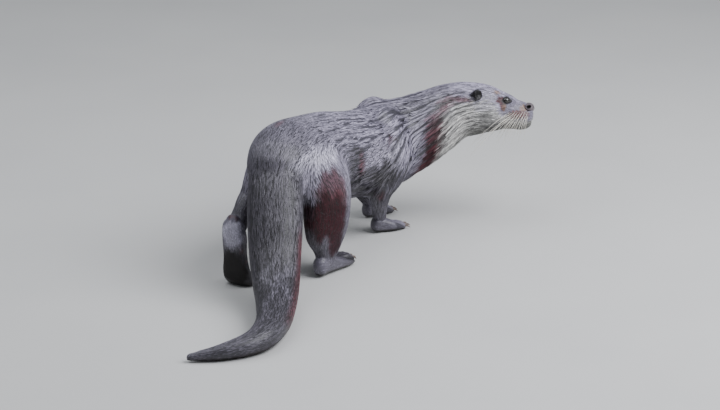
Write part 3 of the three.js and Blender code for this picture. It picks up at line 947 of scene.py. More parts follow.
# The dark red band from behind the ear to the breast: height and station, then height and half width in
# stations, then height and strength
COLLAR = [(-1.2, 8.05), (-0.7, 8.25), (-0.5, 8.38), (-0.07, 8.6), (0.37, 8.8), (0.68, 9.05), (0.8, 9.5)]
COLLAR_WIDTH = ([0.2, 0.65], [0.36, 0.2])
COLLAR_STRENGTH = ([-0.3, 0.2, 0.6, 0.95], [1, 0.9, 0.8, 0])
# The arm of the band that runs on to the ear: its first and last stations, its height at one station, how
# far it sinks with each station ahead of that, its strength, and its station and half width
EAR_BAND = {"first": 9.2, "last": 11.8, "at": 9.4, "height": 0.74, "sinks": 0.14, "strength": 0.75}
EAR_BAND_WIDTH = ([9.2, 10.2, 11.8], [0.13, 0.09, 0.05])
# Patches where the wet coat shines or parts: painted highlights, painted shade and its own red marks. Each
# has a colour, middle and half sizes in the stations' millimetres, and strength
PATCHES = [
    # Painted highlight on the shoulder
    ("sheen", (198, -62, 154), (46, 24, 20), 0.85),
    # Painted shade behind the arm, low on the flank and under the shoulder's bulge
    ("dark_coat_and_shade", (207, -62, 112), (34, 26, 24), 0.8),
    ("dark_coat_and_shade", (160, -56, 110), (46, 26, 30), 0.8),
    ("dark_coat_and_shade", (122, -58, 150), (26, 26, 32), 0.75),
    # Painted highlights on the rump and haunch
    ("gleam", (2, -62, 192), (60, 26, 22), 0.6),
    ("sheen", (-24, -58, 156), (22, 20, 28), 0.6),
    # Painted highlight on the raised heel
    ("gleam", (-108, 27, 84), (18, 20, 24), 1.0),
    ("maroon", (17, -78, 144), (38, 24, 28), 0.8),
    ("maroon", (20, -80, 118), (36, 24, 26), 0.7),
    # Dark red fur in painted shade, low on the inner thigh and shank
    ("red_in_shade", (10, -70, 98), (44, 36, 40), 1.0),
    ("red_in_shade", (26, -80, 54), (17, 18, 24), 0.9),
    ("maroon", (14, 70, 112), (28, 26, 38), 0.7),
    ("maroon", (138, -58, 150), (5, 16, 24), 0.8),
    # Dark red in painted shade, in the parting over the shoulder
    ("red_in_shade", (229, -62, 160), (15, 14, 4.5), 0.9),
    ("maroon", (-103, 28, 112), (12, 14, 7), 0.85),
    ("pink", (-105, 11, 40), (9, 3.5, 20), 0.45),
    ("maroon", (194, -62, 78), (9, 14, 11), 0.7),
    ("maroon", (7, 15, 236), (16, 10, 10), 0.6),
]
# The same on the head, on both sides: colour, middle (behind, aside, above), half sizes and strength.
# Among them are a painted highlight on the cheek and painted shade under the jaw, in the ear and by the
# nose
FACE_PATCHES = [
    ("maroon", (56.5, -27, 18.5), (10, 11, 6), 1.0),
    ("maroon", (53.5, -31, 10), (5, 11, 10), 0.9),
    ("tan", (51.5, -30, 8), (3, 10, 8), 0.55),
    ("tan", (61, -21, 30.5), (9, 9, 2.8), 0.8),
    # Painted highlight on the cheek
    ("gleam", (88, -44, 10), (17, 14, 9), 0.35),
    ("pink", (29, -21, -6), (21, 14, 8), 1.0),
    ("tan", (19, -15, 4), (6.5, 10, 5.5), 0.8),
    # Painted shade under the chin and along the jaw
    ("under", (32, -6, -31), (25, 18, 9), 0.7),
    ("dark_coat_and_shade", (34, -10, -27), (23, 17, 10), 0.6),
    ("dark_coat_and_shade", (66, -32, -23), (24, 16, 9), 0.6),
    # Dark skin and painted shade in the ear's bowl
    ("dark", (95, -46, 30.5), (12, 10, 9.5), 1.0),
    # Painted shade in the hollow round and behind the nose
    ("dark", (10, -7, 4.5), (5.5, 7, 5), 1.0),
]


# The wet heel's dark patch, and how far its upper border sinks with each millimetre to the animal's left
HEEL = {"middle": (-108, 26, 32), "half_sizes": (18, 30, 34), "tilt": 0.5, "level_at": 27}


def patch(points, middle, half_sizes):
    """1 inside an ellipsoid, fading to 0 just outside it."""
    return 1 - smooth_step(0.75, 1.15, lengths((points - np.array(middle)) / half_sizes))


def uneven(places, reach, wavelength):
    """The places moved about by sines of two wavelengths, so that a patch's edge wanders."""
    turn = 2 * math.pi / wavelength
    slow = np.sin(turn * places[:, [1, 2, 0]] + [0.4, 2.1, 4.4])
    fine = np.sin(2.7 * turn * places[:, [2, 0, 1]] + [1.3, 5.2, 3.1])
    return places + reach * (slow + 0.6 * fine)


def back_share(lie, spine, height):
    """Share of the back's colour at each point. The rest is the dark coat's, as on the belly and as painted
    shade below.
    """
    share = np.zeros(len(height))
    for k, name in enumerate(LIMBS):
        rows = np.array(BACK_SHARE[kind_of(name)])
        share += lie.say[k] / lie.say.sum(0) * np.interp(lie.station[k], *rows.T)
    # Painted shade: more of the dark coat where the trunk's side turns under
    return share * (1 - 0.75 * smooth_step(0.5, 1.2, -height) * spine)


def throat_and_collar(lie, spine, height):
    """How fully the pale throat, the painted shade under it and the dark red band cover each point."""
    station, angle = lie.station[0], lie.angle[0]
    ragged = 0.12 * np.sin(41 * angle + 7 * station) + 0.08 * np.sin(23 * station + 13 * angle)
    below_line = np.interp(station, *zip(*PALE_LINE)) + ragged - height
    pale = smooth_step(-0.12, 0.22, below_line) * (station > THROAT_START) * spine
    past_collar = station - np.interp(height, *zip(*COLLAR))
    pale *= past_collar > 0
    # Painted shade under the throat and jaw, stronger towards the head
    under = pale * smooth_step(0.45, 1.0, -height) * (0.3 + 0.7 * smooth_step(10.5, 12, station))
    off_band = np.abs(past_collar + 0.8 * ragged) / np.interp(height, *COLLAR_WIDTH)
    band = 1 - smooth_step(0.6, 1.25, off_band)
    band *= np.interp(height, *COLLAR_STRENGTH) * spine
    sunk = EAR_BAND["sinks"] * (station - EAR_BAND["at"])
    off_arm = np.abs(height - EAR_BAND["height"] + sunk + 0.3 * ragged)
    arm = 1 - smooth_step(1, 2.4, off_arm / np.interp(station, *EAR_BAND_WIDTH))
    arm = arm * (station > EAR_BAND["first"]) * (station < EAR_BAND["last"])
    return pale, under, np.maximum(band, arm * spine * EAR_BAND["strength"])


def tail_marks(station, angle, tail):
    """How fully the red edge, and the wandering streaks of painted sheen on top, cover each point of the
    tail.
    """
    edge = 1 - smooth_step(0.3, 0.75, np.abs(np.abs(angle) - math.pi))
    edge = edge * smooth_step(2.6, 3.4, station) * tail
    edge *= 1 - smooth_step(6.3, 7.0, station)
    broad = 1 - smooth_step(0.1, 0.45, np.abs(angle - 2.25 + 0.5 * np.sin(3.1 * station)))
    narrow = 1 - smooth_step(0.1, 0.3, np.abs(angle - 1.2 + 0.3 * np.sin(4.3 * station)))
    wet = smooth_step(2.6, 4, station) * (1 - smooth_step(4.8, 6.0, station)) * tail
    return edge, np.maximum(broad, narrow) * wet


def round_eyes(view):
    """How fully each point is dark skin at the edge of an eye's opening."""
    dark = np.zeros(len(view))
    for middle, gaze in eye_places():
        distance, rim, *_ = around_eye(view, middle, gaze)
        dark = np.maximum(dark, (1 - smooth_step(1.18, 1.42, rim)) * (distance < EYE_REACH))
    return dark


def soles_and_heel(design, normal):
    """How fully the bare dark soles and the raised heel's dark patch cover each point."""
    sole = smooth_step(0.2, 0.7, -normal[:, 2]) * (1 - smooth_step(8, 16, design[:, 2]))
    tilted = uneven(design, 3.5, 30) - np.outer(HEEL["tilt"] * (design[:, 1] - HEEL["level_at"]), UP)
    heel = patch(tilted, HEEL["middle"], HEEL["half_sizes"]) * smooth_step(0.0, 0.5, -normal[:, 0])
    return np.maximum(sole, heel)


def head_streaks(view):
    """Fine bands of lighter and darker hair that run back over the head, from -1 to 1."""
    behind, aside, above = view[:, 0], np.abs(view[:, 1]), view[:, 2]
    streaks = np.sin(1.25 * (above - 0.25 * behind) + 1.4 * np.sin(0.37 * behind + 0.2 * aside))
    return streaks * (0.6 + 0.4 * np.sin(0.27 * behind + 0.5 * above))


def coat_colours(points, lie):
    """Each point's colour: the back's and the dark coat's mixed, then layer over layer of markings, painted
    sheen and painted shade.
    """
    design = (points - SHIFT) / MM
    view = head_view(points)
    mirrored = np.stack([view[:, 0], -np.abs(view[:, 1]), view[:, 2]], -1)
    spine, tail = lie.say[:2] / lie.say.sum(0)
    height = np.arcsin(np.clip(np.sin(lie.angle[0]), -1, 1))
    share = back_share(lie, spine, height)
    pale, under, band = throat_and_collar(lie, spine, height)
    edge, sheen = tail_marks(lie.station[1], lie.angle[1], tail)
    # The throat's underside gets painted shade, and the tail's top painted sheen
    layers = [("pale", pale), ("under", under), ("maroon", band), ("sheen", 0.25 * sheen)]
    # The band's lower half gets darker red as painted shade, where it turns under
    layers += [("maroon", 0.85 * edge), ("red_in_shade", 0.6 * band * smooth_step(0.1, -0.5, height))]
    marked = ((PATCHES, design, 5.0, 26), (FACE_PATCHES, mirrored, 1.1, 6))
    for patches, places, reach, wavelength in marked:
        moved = uneven(places, reach, wavelength)
        layers += [(name, strength * patch(moved, *place)) for name, *place, strength in patches]
    layers += [("dark", round_eyes(view)), ("sole", soles_and_heel(design, lie.normal))]
    layers.append(("dark", 0.85 * follicles(mirrored)))
    colour = np.outer(share, COLOURS["back"]) + np.outer(1 - share, COLOURS["dark_coat_and_shade"])
    for name, cover in layers:
        colour += (np.array(COLOURS[name]) - colour) * cover[:, None]
    streaks = head_streaks(view) * (spine * smooth_step(*FACE_STREAKS, lie.station[0]))
    # Painted highlight and shade on the toes, and the head's lighter and darker streaks
    return np.maximum(colour, BLACKEST) * (toe_light_and_shade(design) * (1 + 0.3 * streaks))[:, None]


# Round the toes, in millimetres: how high and how far from a toe's line, and where its ridge gives way to
# the web. The ridge's painted highlight and the drop to the web's painted shade are factors on the coat's
# colour
TOE_LIGHT_AND_SHADE = {"height": 14, "near": 14, "slope": (2.2, 5.5), "ridge": 1.5, "drop": 1.1}


def toe_light_and_shade(design):
    """Painted highlight along the toes' ridges and painted shade on the webs between them, as a factor."""
    factor = np.ones(len(design))
    low = np.flatnonzero((design[:, 2] < TOE_LIGHT_AND_SHADE["height"]) & (design[:, 0] > BEHIND_FEET))
    flat = design[low, :2]
    ridge = np.full(len(low), np.inf)
    for foot in FEET.values():
        for toe, _ in toe_lines(foot):
            start, end = np.array(toe[0][:2]), np.array(toe[2][:2])
            way = end - start
            along = np.clip((flat - start) @ way / (way @ way), 0, 1)
            ridge = np.minimum(ridge, lengths(flat - start - along[:, None] * way))
    near = ridge < TOE_LIGHT_AND_SHADE["near"]
    drop = TOE_LIGHT_AND_SHADE["drop"] * smooth_step(*TOE_LIGHT_AND_SHADE["slope"], ridge[near])
    factor[low[near]] = TOE_LIGHT_AND_SHADE["ridge"] - drop
    return factor


def follicle_places():
    """The whiskers' roots on one pad: four rows, each second row set half a gap further behind."""
    row, k = np.mgrid[0:4, 0:8]
    behind = 11.5 + 4.3 * k + 2 * (row % 2)
    above = -2 - 3.5 * row
    return np.stack([behind, above], -1).reshape(-1, 2)


def follicles(mirrored):
    """Dark dots at the whiskers' roots, seen from the side of the head."""
    near = (mirrored[:, 0] < 46) & (mirrored[:, 2] < 0) & (mirrored[:, 2] > -20)
    dots = np.zeros(len(mirrored))
    away = lengths(mirrored[near][:, None, ::2] - follicle_places()[None]).min(1)
    dots[near] = 1 - smooth_step(0.7, 1.25, away)
    return dots


# ---- Locks of hair ----

RNG = np.random.default_rng(7)
NODES = 5  # points along a lock's middle, the last at its tip
GUIDE_NODES = 8  # points along a guide line, to which locks are drawn
GUIDE_PARTS = 3  # parts into which a guide line is cut between its points
GUIDE_REACH = 2.3  # a guide line's length, over a lock's
ALONG_LOCK = np.linspace(0, 1, NODES)
TAPER = np.array([0.7, 1.0, 0.9, 0.6])  # a lock's width at each node but its tip, as a share of the widest
THICKNESS = 0.35  # a lock's height over its width
ROOT_SUNK = 0.1 * MM  # how far a lock's root lies in the skin
RIM_SUNK = 0.15 * MM  # how far its two rims lie below its middle
COVER = 3  # candidates drawn for each lock kept
CUBE_STEP = 1.15  # the cubes that keep locks apart come in sizes this many times one another
CUBE_SHARE = 0.82  # a cube's edge over the space between locks there
BARE = 2.0  # the spacing, in metres, that says that no locks grow at a point
LEAST_LIFT = 0.2 * MM  # over the places in TUFTS no tip lies lower than this
DARK_SHARE = 0.09  # of locks that show as dark streaks
SHOWN = 2  # the point along a lock that gives it its colour, since the next locks cover its root


def scattered(surface, spacing):
    """Points over the skin: drawn by area over spacing squared, then one kept in each cube of a grid."""
    tri = surface.triangles
    gap = spacing[tri].mean(1)
    want = lengths(surface.face_normals()) / 2 / gap**2
    want[spacing[tri].max(1) >= BARE] = 0
    count = int(want.sum() * COVER)
    face = np.searchsorted(np.cumsum(want), RNG.random(count) * want.sum())
    u, v = RNG.random((2, count))
    u, v = np.where(u + v > 1, 1 - u, u), np.where(u + v > 1, 1 - v, v)
    share = np.stack([1 - u - v, u, v], -1)
    points = (surface.points[tri[face]] * share[..., None]).sum(1)
    level = np.round(np.log(gap[face]) / math.log(CUBE_STEP))
    cube = CUBE_STEP**level * CUBE_SHARE
    cell = np.column_stack([level, np.floor(points / cube[:, None])]).astype(np.int64)
    _, kept = np.unique(cell, axis=0, return_index=True)
    return points[kept], face[kept], share[kept]


def snapped(tree, points):
    """The nearest places on the skin, and the triangles they lie in."""
    found = [tree.find_nearest(point) for point in points.tolist()]
    return np.array([place for place, *_ in found]), np.array([index for *_, index, _ in found])


def combed(tree, surface, heading, normal, starts, length, yaw, count=NODES):
    """The middles of locks: even steps along the lie of the hair from each start, laid back on the skin."""
    tri = surface.triangles
    here, nodes, normals = starts, [], []
    for _ in range(count):
        here, face = snapped(tree, here)
        n = unit(normal[tri[face]].mean(1))
        way = unit(heading[tri[face]].mean(1))
        way = way * np.cos(yaw)[:, None] + np.cross(n, way) * np.sin(yaw)[:, None]
        nodes.append(here)
        normals.append(n)
        here = here + way * (length / (count - 1))[:, None]
    return np.stack(nodes, 1), np.stack(normals, 1)


def drawn_together(nodes, length, guides, reach, clump):
    """Draws each lock sideways to the nearest guide line, most at its tip: wet locks lie in ribbons.

    Gives the drawn middles, each one's guide, and how far to the side of it each started.
    """
    parts = GUIDE_PARTS * (GUIDE_NODES - 1)
    place = np.arange(parts + 1) / GUIDE_PARTS
    low = np.minimum(place.astype(int), GUIDE_NODES - 2)
    share = (place - low)[None, :, None]
    lines = guides[:, low] * (1 - share) + guides[:, low + 1] * share
    places = lines.reshape(-1, 3).tolist()
    tree = KDTree(len(places))
    for k, point in enumerate(places):
        tree.insert(point, k)
    tree.balance()
    nearest = np.array([tree.find(start)[1] for start in nodes[:, 0].tolist()])
    line, first = nearest // (parts + 1), nearest % (parts + 1)
    pace = (length / (NODES - 1)) / (reach[line] / parts)
    at = np.minimum(first[:, None] + np.round(np.arange(NODES) * pace[:, None]).astype(int), parts)
    along = unit(np.gradient(nodes, axis=1))
    away = lines[line[:, None], at] - nodes
    away -= (away * along).sum(-1, keepdims=True) * along
    pull = clump[:, None] * (0.2 + 0.8 * ALONG_LOCK**0.8)
    return nodes + pull[..., None] * away, line, lengths(away[:, 0])


def lock_points(nodes, normals, width, lift):
    """A lock's points: a left, a right and a ridge point at every node but the last, and then the tip."""
    along = unit(np.gradient(nodes, axis=1))
    side = unit(np.cross(normals, along))
    half = 0.5 * width[:, None, None] * TAPER[None, :, None]
    rise = normals * (lift[:, None] * ALONG_LOCK**1.3 - ROOT_SUNK)[..., None]
    base = nodes + rise
    ridge = base[:, :-1] + normals[:, :-1] * (2 * half * THICKNESS)
    sunk = normals[:, :-1] * RIM_SUNK
    left, right = (base[:, :-1] + way * side[:, :-1] * half - sunk for way in (1, -1))
    rings = np.stack([left, right, ridge], 2).reshape(len(nodes), -1, 3)
    tip = base[:, -1:] + 0.5 * half[:, -1:] * THICKNESS * normals[:, -1:]
    return np.concatenate([rings, tip], 1)


def lock_faces(count):
    """The faces of locks: a root triangle, three sides of quads between rings, and three onto the tip."""
    rings = NODES - 1
    ring, corner = np.mgrid[0 : rings - 1, 0:3]
    a, b = ring * 3 + corner, ring * 3 + (corner + 1) % 3
    quads = np.stack([a, b, b + 3, a + 3], -1).reshape(-1, 4)
    last, tip = (rings - 1) * 3, rings * 3
    fans = np.array([[0, 2, 1]] + [[last + k, last + (k + 1) % 3, tip] for k in range(3)])
    starts = np.arange(count)[:, None, None] * (tip + 1)
    return (quads + starts).reshape(-1, 4), (fans + starts).reshape(-1, 3)


# Places where the coat differs: middle and half sizes in the stations' millimetres, how many times longer,
# extra lift in millimetres, and how many times more the locks draw together. Wet tufts stand out, and over
# the shoulder and haunch the coat lies sleek.
TUFTS = [
    ((190, -56, 98), (14, 16, 10), 1.9, 4.0, 1),
    ((150, -60, 120), (18, 20, 24), 1.3, 2.0, 1),
    ((300, -50, 78), (40, 40, 16), 1.3, 2.0, 1),
    ((198, -62, 152), (40, 26, 26), 0.6, -0.6, 0.3),
    ((-4, -62, 178), (66, 30, 40), 0.8, 0, 0.5),
]

# The coat's pieces: the lines that they cover, and from which station to which
FIRST, LAST = -1, 99
COAT_PIECES = {
    "coat_rump": (("spine",), FIRST, 2.4),
    "coat_belly": (("spine",), 2.4, 4.4),
    "coat_chest": (("spine",), 4.4, 6.6),
    "coat_breast": (("spine",), 6.6, 9.0),
    "coat_neck": (("spine",), 9.0, 12.0),
    "coat_head": (("spine",), 12.0, 14.0),
    "coat_face": (("spine",), 14.0, LAST),
    "coat_tail_tip": (("tail",), FIRST, 5.5),
    "coat_tail_root": (("tail",), 5.5, LAST),
}
LEGS = {"hind": ("thigh", "shank", "hind_foot"), "fore": ("upper_arm", "forearm", "forepaw")}
for side in SIDES:
    for leg, parts in LEGS.items():
        COAT_PIECES[f"coat_{leg}_{side}"] = (tuple(f"{part}_{side}" for part in parts), FIRST, LAST)

PATCH = 0.003  # a lock's patch on the unwrap
MARGIN = 0.02  # kept clear round the unwrap's edge
ROW_GAP = 1.05  # from one line's strip of the unwrap to the next, in strips


def lock_sizes(starts, sizes):
    """Each lock's length, width, lift and clumping, varied by chance, by TUFTS and behind the ears."""
    count = len(starts)
    length = sizes[:, 0] * RNG.uniform(0.75, 1.3, count) * MM
    width = sizes[:, 1] * RNG.uniform(0.75, 1.3, count) * MM
    lift = sizes[:, 2] * RNG.uniform(0.6, 1.5, count) * MM
    clump = sizes[:, 4]
    design = (starts - SHIFT) / MM
    for middle, half_sizes, longer, raised, closer in TUFTS:
        there = patch(design, middle, half_sizes)
        length *= 1 + (longer - 1) * there
        lift = np.maximum(lift + raised * there * MM, LEAST_LIFT)
        clump = clump * (1 + (closer - 1) * there)
    view = head_view(starts)
    mirrored = np.stack([view[:, 0], np.abs(view[:, 1]), view[:, 2]], -1)
    on_ear = patch(mirrored, EAR_TUFT["middle"], EAR_TUFT["half_sizes"])
    length *= 1 + EAR_TUFT["longer"] * on_ear
    lift += EAR_TUFT["raised"] * on_ear * MM
    return length, width, lift, clump


def lock_tones(clump, outer, guide, guide_count):
    """Each lock's tone from 0 to 1, half its ribbon's, with painted shade at a ribbon's rim. A few locks
    are dark.
    """
    count = len(clump)
    tone = 0.5 * RNG.random(count) + 0.5 * RNG.random(guide_count)[guide]
    contrast = np.interp(clump, [0.2, 0.7], [0.6, 1.35])
    # Painted shade on the locks at a ribbon's rim, in the gaps between ribbons
    tone = (0.5 + (tone - 0.5) * contrast) * (1 - 0.65 * outer)
    return np.where(RNG.random(count) < DARK_SHARE * (0.4 + clump), 0.1 * tone, tone)


def grown_locks(surface, lie, heading, normal, colours):
    """All the locks, as named arrays with a row for each: its points, its colour and where it grows."""
    tree = BVHTree.FromPolygons(surface.points.tolist(), surface.triangles.tolist())
    spacing = lie.locks[:, 3] * MM
    spacing[bare_skin(surface.points, normal)] = BARE
    starts, face, share = scattered(surface, spacing)
    corners = surface.triangles[face]
    sizes = (lie.locks[corners] * share[..., None]).sum(1)
    count = len(starts)
    length, width, lift, clump = lock_sizes(starts, sizes)
    yaw = RNG.normal(0, 0.1, count)
    nodes, normals = combed(tree, surface, heading, normal, starts, length, yaw)
    far = lie.locks[:, 0] * GUIDE_REACH * MM
    between = np.where(spacing >= BARE, spacing, np.sqrt(far * lie.locks[:, 5] * MM))
    guide_starts, guide_face, _ = scattered(surface, between)
    reach = far[surface.triangles[guide_face]].mean(1)
    turn = RNG.normal(0, 0.06, len(reach))
    guides, _ = combed(tree, surface, heading, normal, guide_starts, reach, turn, GUIDE_NODES)
    nodes, guide, aside = drawn_together(nodes, length, guides, reach, clump)
    outer = smooth_step(0.5, 1.1, aside / (sizes[:, 5] * MM / 2)) * smooth_step(0.1, 0.6, clump)
    tone = lock_tones(clump, outer, guide, len(guides))
    shown = np.array([tree.find_nearest(point)[2] for point in nodes[:, SHOWN].tolist()])
    points = lock_points(nodes, normals, width, lift * (1.35 - outer))
    points[..., 2] = np.maximum(points[..., 2], FLOOR_GAP)
    owner = corners[np.arange(count), share.argmax(1)]
    return {
        "points": points,
        "tone": tone,
        "colour": colours[surface.triangles[shown]].mean(1),
        "outer": outer,
        "line": lie.owner[owner],
        "station": lie.along_owner(lie.station)[owner],
        "angle": lie.along_owner(lie.angle)[owner],
    }


# Where no locks grow, in the head's millimetres, and on the soles by how the skin faces and how low it is
BARE_SOLE = {"facing": -0.35, "height": 14 * MM}
BARE_LIDS = 1.35  # out from an eye's middle, over its opening
BARE_NOSE = {"middle": (8, 0, 2), "half_sizes": (11, 13.5, 9.5)}
BARE_EAR = {"behind": 91, "aside": 43, "above": 30, "radius": 8}
BARE_LIP = 1.0


def bare_skin(points, normal):
    """True where no locks grow: on the soles, the nose and the lips' line, and in the lids and the ears."""
    view = head_view(points)
    low = (normal[:, 2] < BARE_SOLE["facing"]) & (points[:, 2] < BARE_SOLE["height"])
    bare = low & (points[:, 0] > placed([BEHIND_FEET, 0, 0])[0])
    for middle, gaze in eye_places():
        distance, rim, *_ = around_eye(view, middle, gaze)
        bare |= (distance < EYE_REACH) & (rim < BARE_LIDS)
    bare |= lengths((view - BARE_NOSE["middle"]) / BARE_NOSE["half_sizes"]) < 1
    for side in SIDES.values():
        mouth = [BARE_EAR["behind"], side * BARE_EAR["aside"], BARE_EAR["above"]]
        bare |= lengths(view - mouth) < BARE_EAR["radius"]
    gap, there = lips(view)
    return bare | ((np.abs(gap) < BARE_LIP) & (there > 0.5))


def add_attribute(mesh, name, kind, values):
    """An attribute of a mesh's points, from an array with one row a point."""
    attribute = mesh.attributes.new(name, kind, "POINT")
    key = "color" if kind == "FLOAT_COLOR" else "vector" if kind == "FLOAT_VECTOR" else "value"
    attribute.data.foreach_set(key, np.ascontiguousarray(values, np.float32).ravel())


def coat_piece(name, locks):
    """One piece of the coat, of the locks that start on its lines and between its stations."""
    lines, first, final = COAT_PIECES[name]
    order = np.array([lines.index(limb) if limb in lines else -1 for limb in LIMBS])[locks["line"]]
    chosen = (order >= 0) & (locks["station"] >= first) & (locks["station"] < final)
    lock = {kind: values[chosen] for kind, values in locks.items()}
    count, each = int(chosen.sum()), NODES * 3 - 2
    mesh = mesh_from(name, lock["points"].reshape(-1, 3), *lock_faces(count))
    along = np.append(np.repeat(ALONG_LOCK[:-1], 3), 1)
    across = np.append(np.tile([0, 1, 0.5], NODES - 1), 0.5)
    # The painted shade at the root reaches further up the locks at a ribbon's rim
    rise = along[None] * (1 - 0.5 * lock["outer"][:, None])
    strand = np.stack([np.repeat(lock["tone"], each), rise.ravel(), np.tile(across, count)], -1)
    add_attribute(mesh, "lock", "FLOAT_VECTOR", strand)
    rgba = np.column_stack([lock["colour"], np.ones(count)])
    add_attribute(mesh, "coat_colour", "FLOAT_COLOR", np.repeat(rgba, each, 0))
    corner = (np.stack([along, across], -1) - 0.5) * PATCH
    unwrap(mesh, lock_places(order[chosen], lock)[:, None] + corner[None])
    mark_rims(mesh, each)
    return mesh


def lock_places(order, lock):
    """Each lock's place on the unwrap: across by its line and station, up by its angle round the line."""
    lasts = np.array([limb.last for limb in LIMBS.values()])[lock["line"]]
    far = order * ROW_GAP + np.clip(lock["station"] / lasts, 0, 1)
    far = (far - far.min()) / max(np.ptp(far), 1e-6)
    place = np.stack([far, lock["angle"] / (2 * math.pi) + 0.5], -1)
    return place * (1 - 2 * MARGIN) + MARGIN


def unwrap(mesh, places):
    """The mesh's UV map, from each point's place on it."""
    corners = read(mesh.loops, "vertex_index", 1, np.int32)[:, 0]
    layer = mesh.uv_layers.new(name="OFBake")
    layer.data.foreach_set("uv", places.reshape(-1, 2)[corners].astype(np.float32).ravel())


def mark_rims(mesh, each):
    """Sharp edges along both rims of each lock and on to its tip. Each lock has as many points."""
    ends = read(mesh.edges, "vertices", 2, np.int32) % each
    tip = (ends == each - 1).any(1)
    low = (ends % 3 < 2) & (ends < each - 1)
    rim = (ends[:, 0] % 3 == ends[:, 1] % 3) & low.all(1) | tip & low.any(1)
    mesh.attributes.new("sharp_edge", "BOOLEAN", "EDGE").data.foreach_set("value", rim)


# ---- Eyes, nose, claws, pads and whiskers ----


CORNEA = {"raised": 0.35, "half_angle": 0.55}


def eyeball(side):
    """A ball with a cornea that swells where it looks. Its gaze is each point's angle from that way."""
    middle = np.array([EYE["behind"], side * EYE["aside"], EYE["above"]])
    points, *faces = ball(*middle, (EYE["radius"],) * 3, 64)
    offset = unit(head_view(points) - middle)
    angle = np.arccos(np.clip(offset @ head_direction(**GAZE, side=side), -1, 1))
    swollen = EYE["radius"] + CORNEA["raised"] * np.exp(-((angle / CORNEA["half_angle"]) ** 4))
    mesh = mesh_from("eyeball", in_millimetres(middle + offset * swollen[:, None]), *faces)
    add_attribute(mesh, "gaze", "FLOAT", angle)
    return mesh


NOSE = {"behind": 9.0, "above": 2.2, "half_sizes": (9.8, 13.2, 8.8)}
NOSE_GROOVE = {"half_width": 0.9, "depth": 0.7, "length": 6}
NOSTRIL = {"ahead": -0.06, "aside": 0.95, "above": 0.28}
PIT = {"half_width": 5.0, "half_height": 4.0, "slant": 0.25, "depth": 5.2, "rim": 0.45}


def nose_mesh():
    """The bare nose: a ball with a groove down its middle, and in each side a comma-shaped nostril.

    A nostril's depth falls off from its middle, and its rim stands out a little. nostril is 1 inside it.
    """
    points, *faces = ball(NOSE["behind"], 0, NOSE["above"], NOSE["half_sizes"], 120)
    view = head_view(points)
    middle = np.array([NOSE["behind"], 0, NOSE["above"]])
    offset = view - middle
    dark = np.zeros(len(points))
    depth = NOSE_GROOVE["depth"] * hump(view[:, 1], 0, NOSE_GROOVE["half_width"])
    depth *= smooth_step(NOSE_GROOVE["length"], 0, view[:, 0])
    for side in SIDES.values():
        axis = head_direction(**NOSTRIL, side=side)
        level = unit(np.cross([0, 0, 1], axis))
        x, y = (offset @ level) * -side, offset @ np.cross(axis, level)
        comma = np.hypot((x + PIT["slant"] * y) / PIT["half_width"], y / PIT["half_height"])
        comma = comma + 4 * (offset @ axis < 0)
        pit = 1 - smooth_step(0.55, 1.05, comma)
        depth = np.maximum(depth, PIT["depth"] * pit) - PIT["rim"] * hump(comma, 1.3, 0.22)
        dark = np.maximum(dark, pit)
    view = middle + offset * (1 - depth / lengths(offset))[:, None]
    mesh = mesh_from("nose", in_millimetres(view), *faces)
    add_attribute(mesh, "nostril", "FLOAT", dark)
    return mesh


def claws_mesh(name):
    """A foot's five claws: tapered hooks, round above and narrow below."""
    claws = [
        shell(Limb(claw, depth=(0, 0), squareness=2.0), 0.0006, 20, (0.2, 0.9))
        for _, claw in toe_lines(FEET[name])
    ]
    return joined(name, claws)


PAD_THICK = 1.6
PAD_BREADTH = 0.85  # a pad's breadth over its length
TOE_PAD = 0.85  # a toe pad's radius, as a share of PAD_SHARE's
SOLE_PAD = {"radius": 1.1, "ahead": 2.2, "aside": 0.35}
# The pads of the sole: turn from the foot's heading, and share of the toe's length
SOLE_PADS = ((-35, 0.12), (0, 0.3), (35, 0.12))


def pad(x, y, radius):
    """A flattened pad that stands on the floor, as points and faces."""
    points, *faces = ball(0, 0, 0, (1, 1, 1), 20)
    low = unit(head_view(points)) * [radius, radius * PAD_BREADTH, PAD_THICK]
    return placed(np.array([x, y, PAD_THICK + FLOOR_GAP / MM * 0.5]) + low), *faces


def pads_mesh(name):
    """A foot's bare pads: one under each toe's tip, and three across the sole."""
    foot = FEET[name]
    radius = foot["toe"] * PAD_SHARE
    pads = [pad(*toe[2][:2], radius * TOE_PAD) for toe, _ in toe_lines(foot)]
    x, y = foot["root"]
    for turn, share in SOLE_PADS:
        way = math.radians(foot["heading"] + turn)
        ahead, aside = foot["toe"] * share, math.sin(way) * foot["toe"] * SOLE_PAD["aside"]
        far = x + math.cos(way) * ahead * SOLE_PAD["ahead"]
        pads.append(pad(far, y + aside, radius * SOLE_PAD["radius"]))
    return joined(name, pads)


# A whisker's points and sides. In millimetres: its radius in the lowest and highest rows, the brow hairs',
# its length at the front of the pad, and how much longer it is at the back
WHISKER = {"nodes": 14, "sides": 5, "rows": (-12, -2), "radius": (0.5, 0.25), "brow": 0.25}
WHISKER_LENGTH = {"front": 38, "rear": 32, "pad": (12, 40)}
OUTSIDE = 60.0  # millimetres from the head's middle, further than any of its skin


def whisker(root, bend, tip, radius):
    """A hair along the curve (1-t)^2 root + 2t(1-t) bend + t^2 tip, tapering from its radius to a point."""
    t = np.linspace(0, 1, WHISKER["nodes"])[:, None]
    middle = (1 - t) ** 2 * root + 2 * t * (1 - t) * bend + t**2 * tip
    along = unit(np.gradient(middle, axis=0))
    side = unit(np.cross(along, UP + 0.01))
    up = np.cross(side, along)
    reach = np.repeat(radius * (1 - 0.75 * t**2), 3, axis=1)
    points = superellipse(middle, -side, up, reach, WHISKER["sides"], 2)
    tips = [middle[-1] + along[-1] * radius, middle[0] - along[0] * radius]
    return np.vstack([points, tips]), *tube_faces(len(middle), WHISKER["sides"])


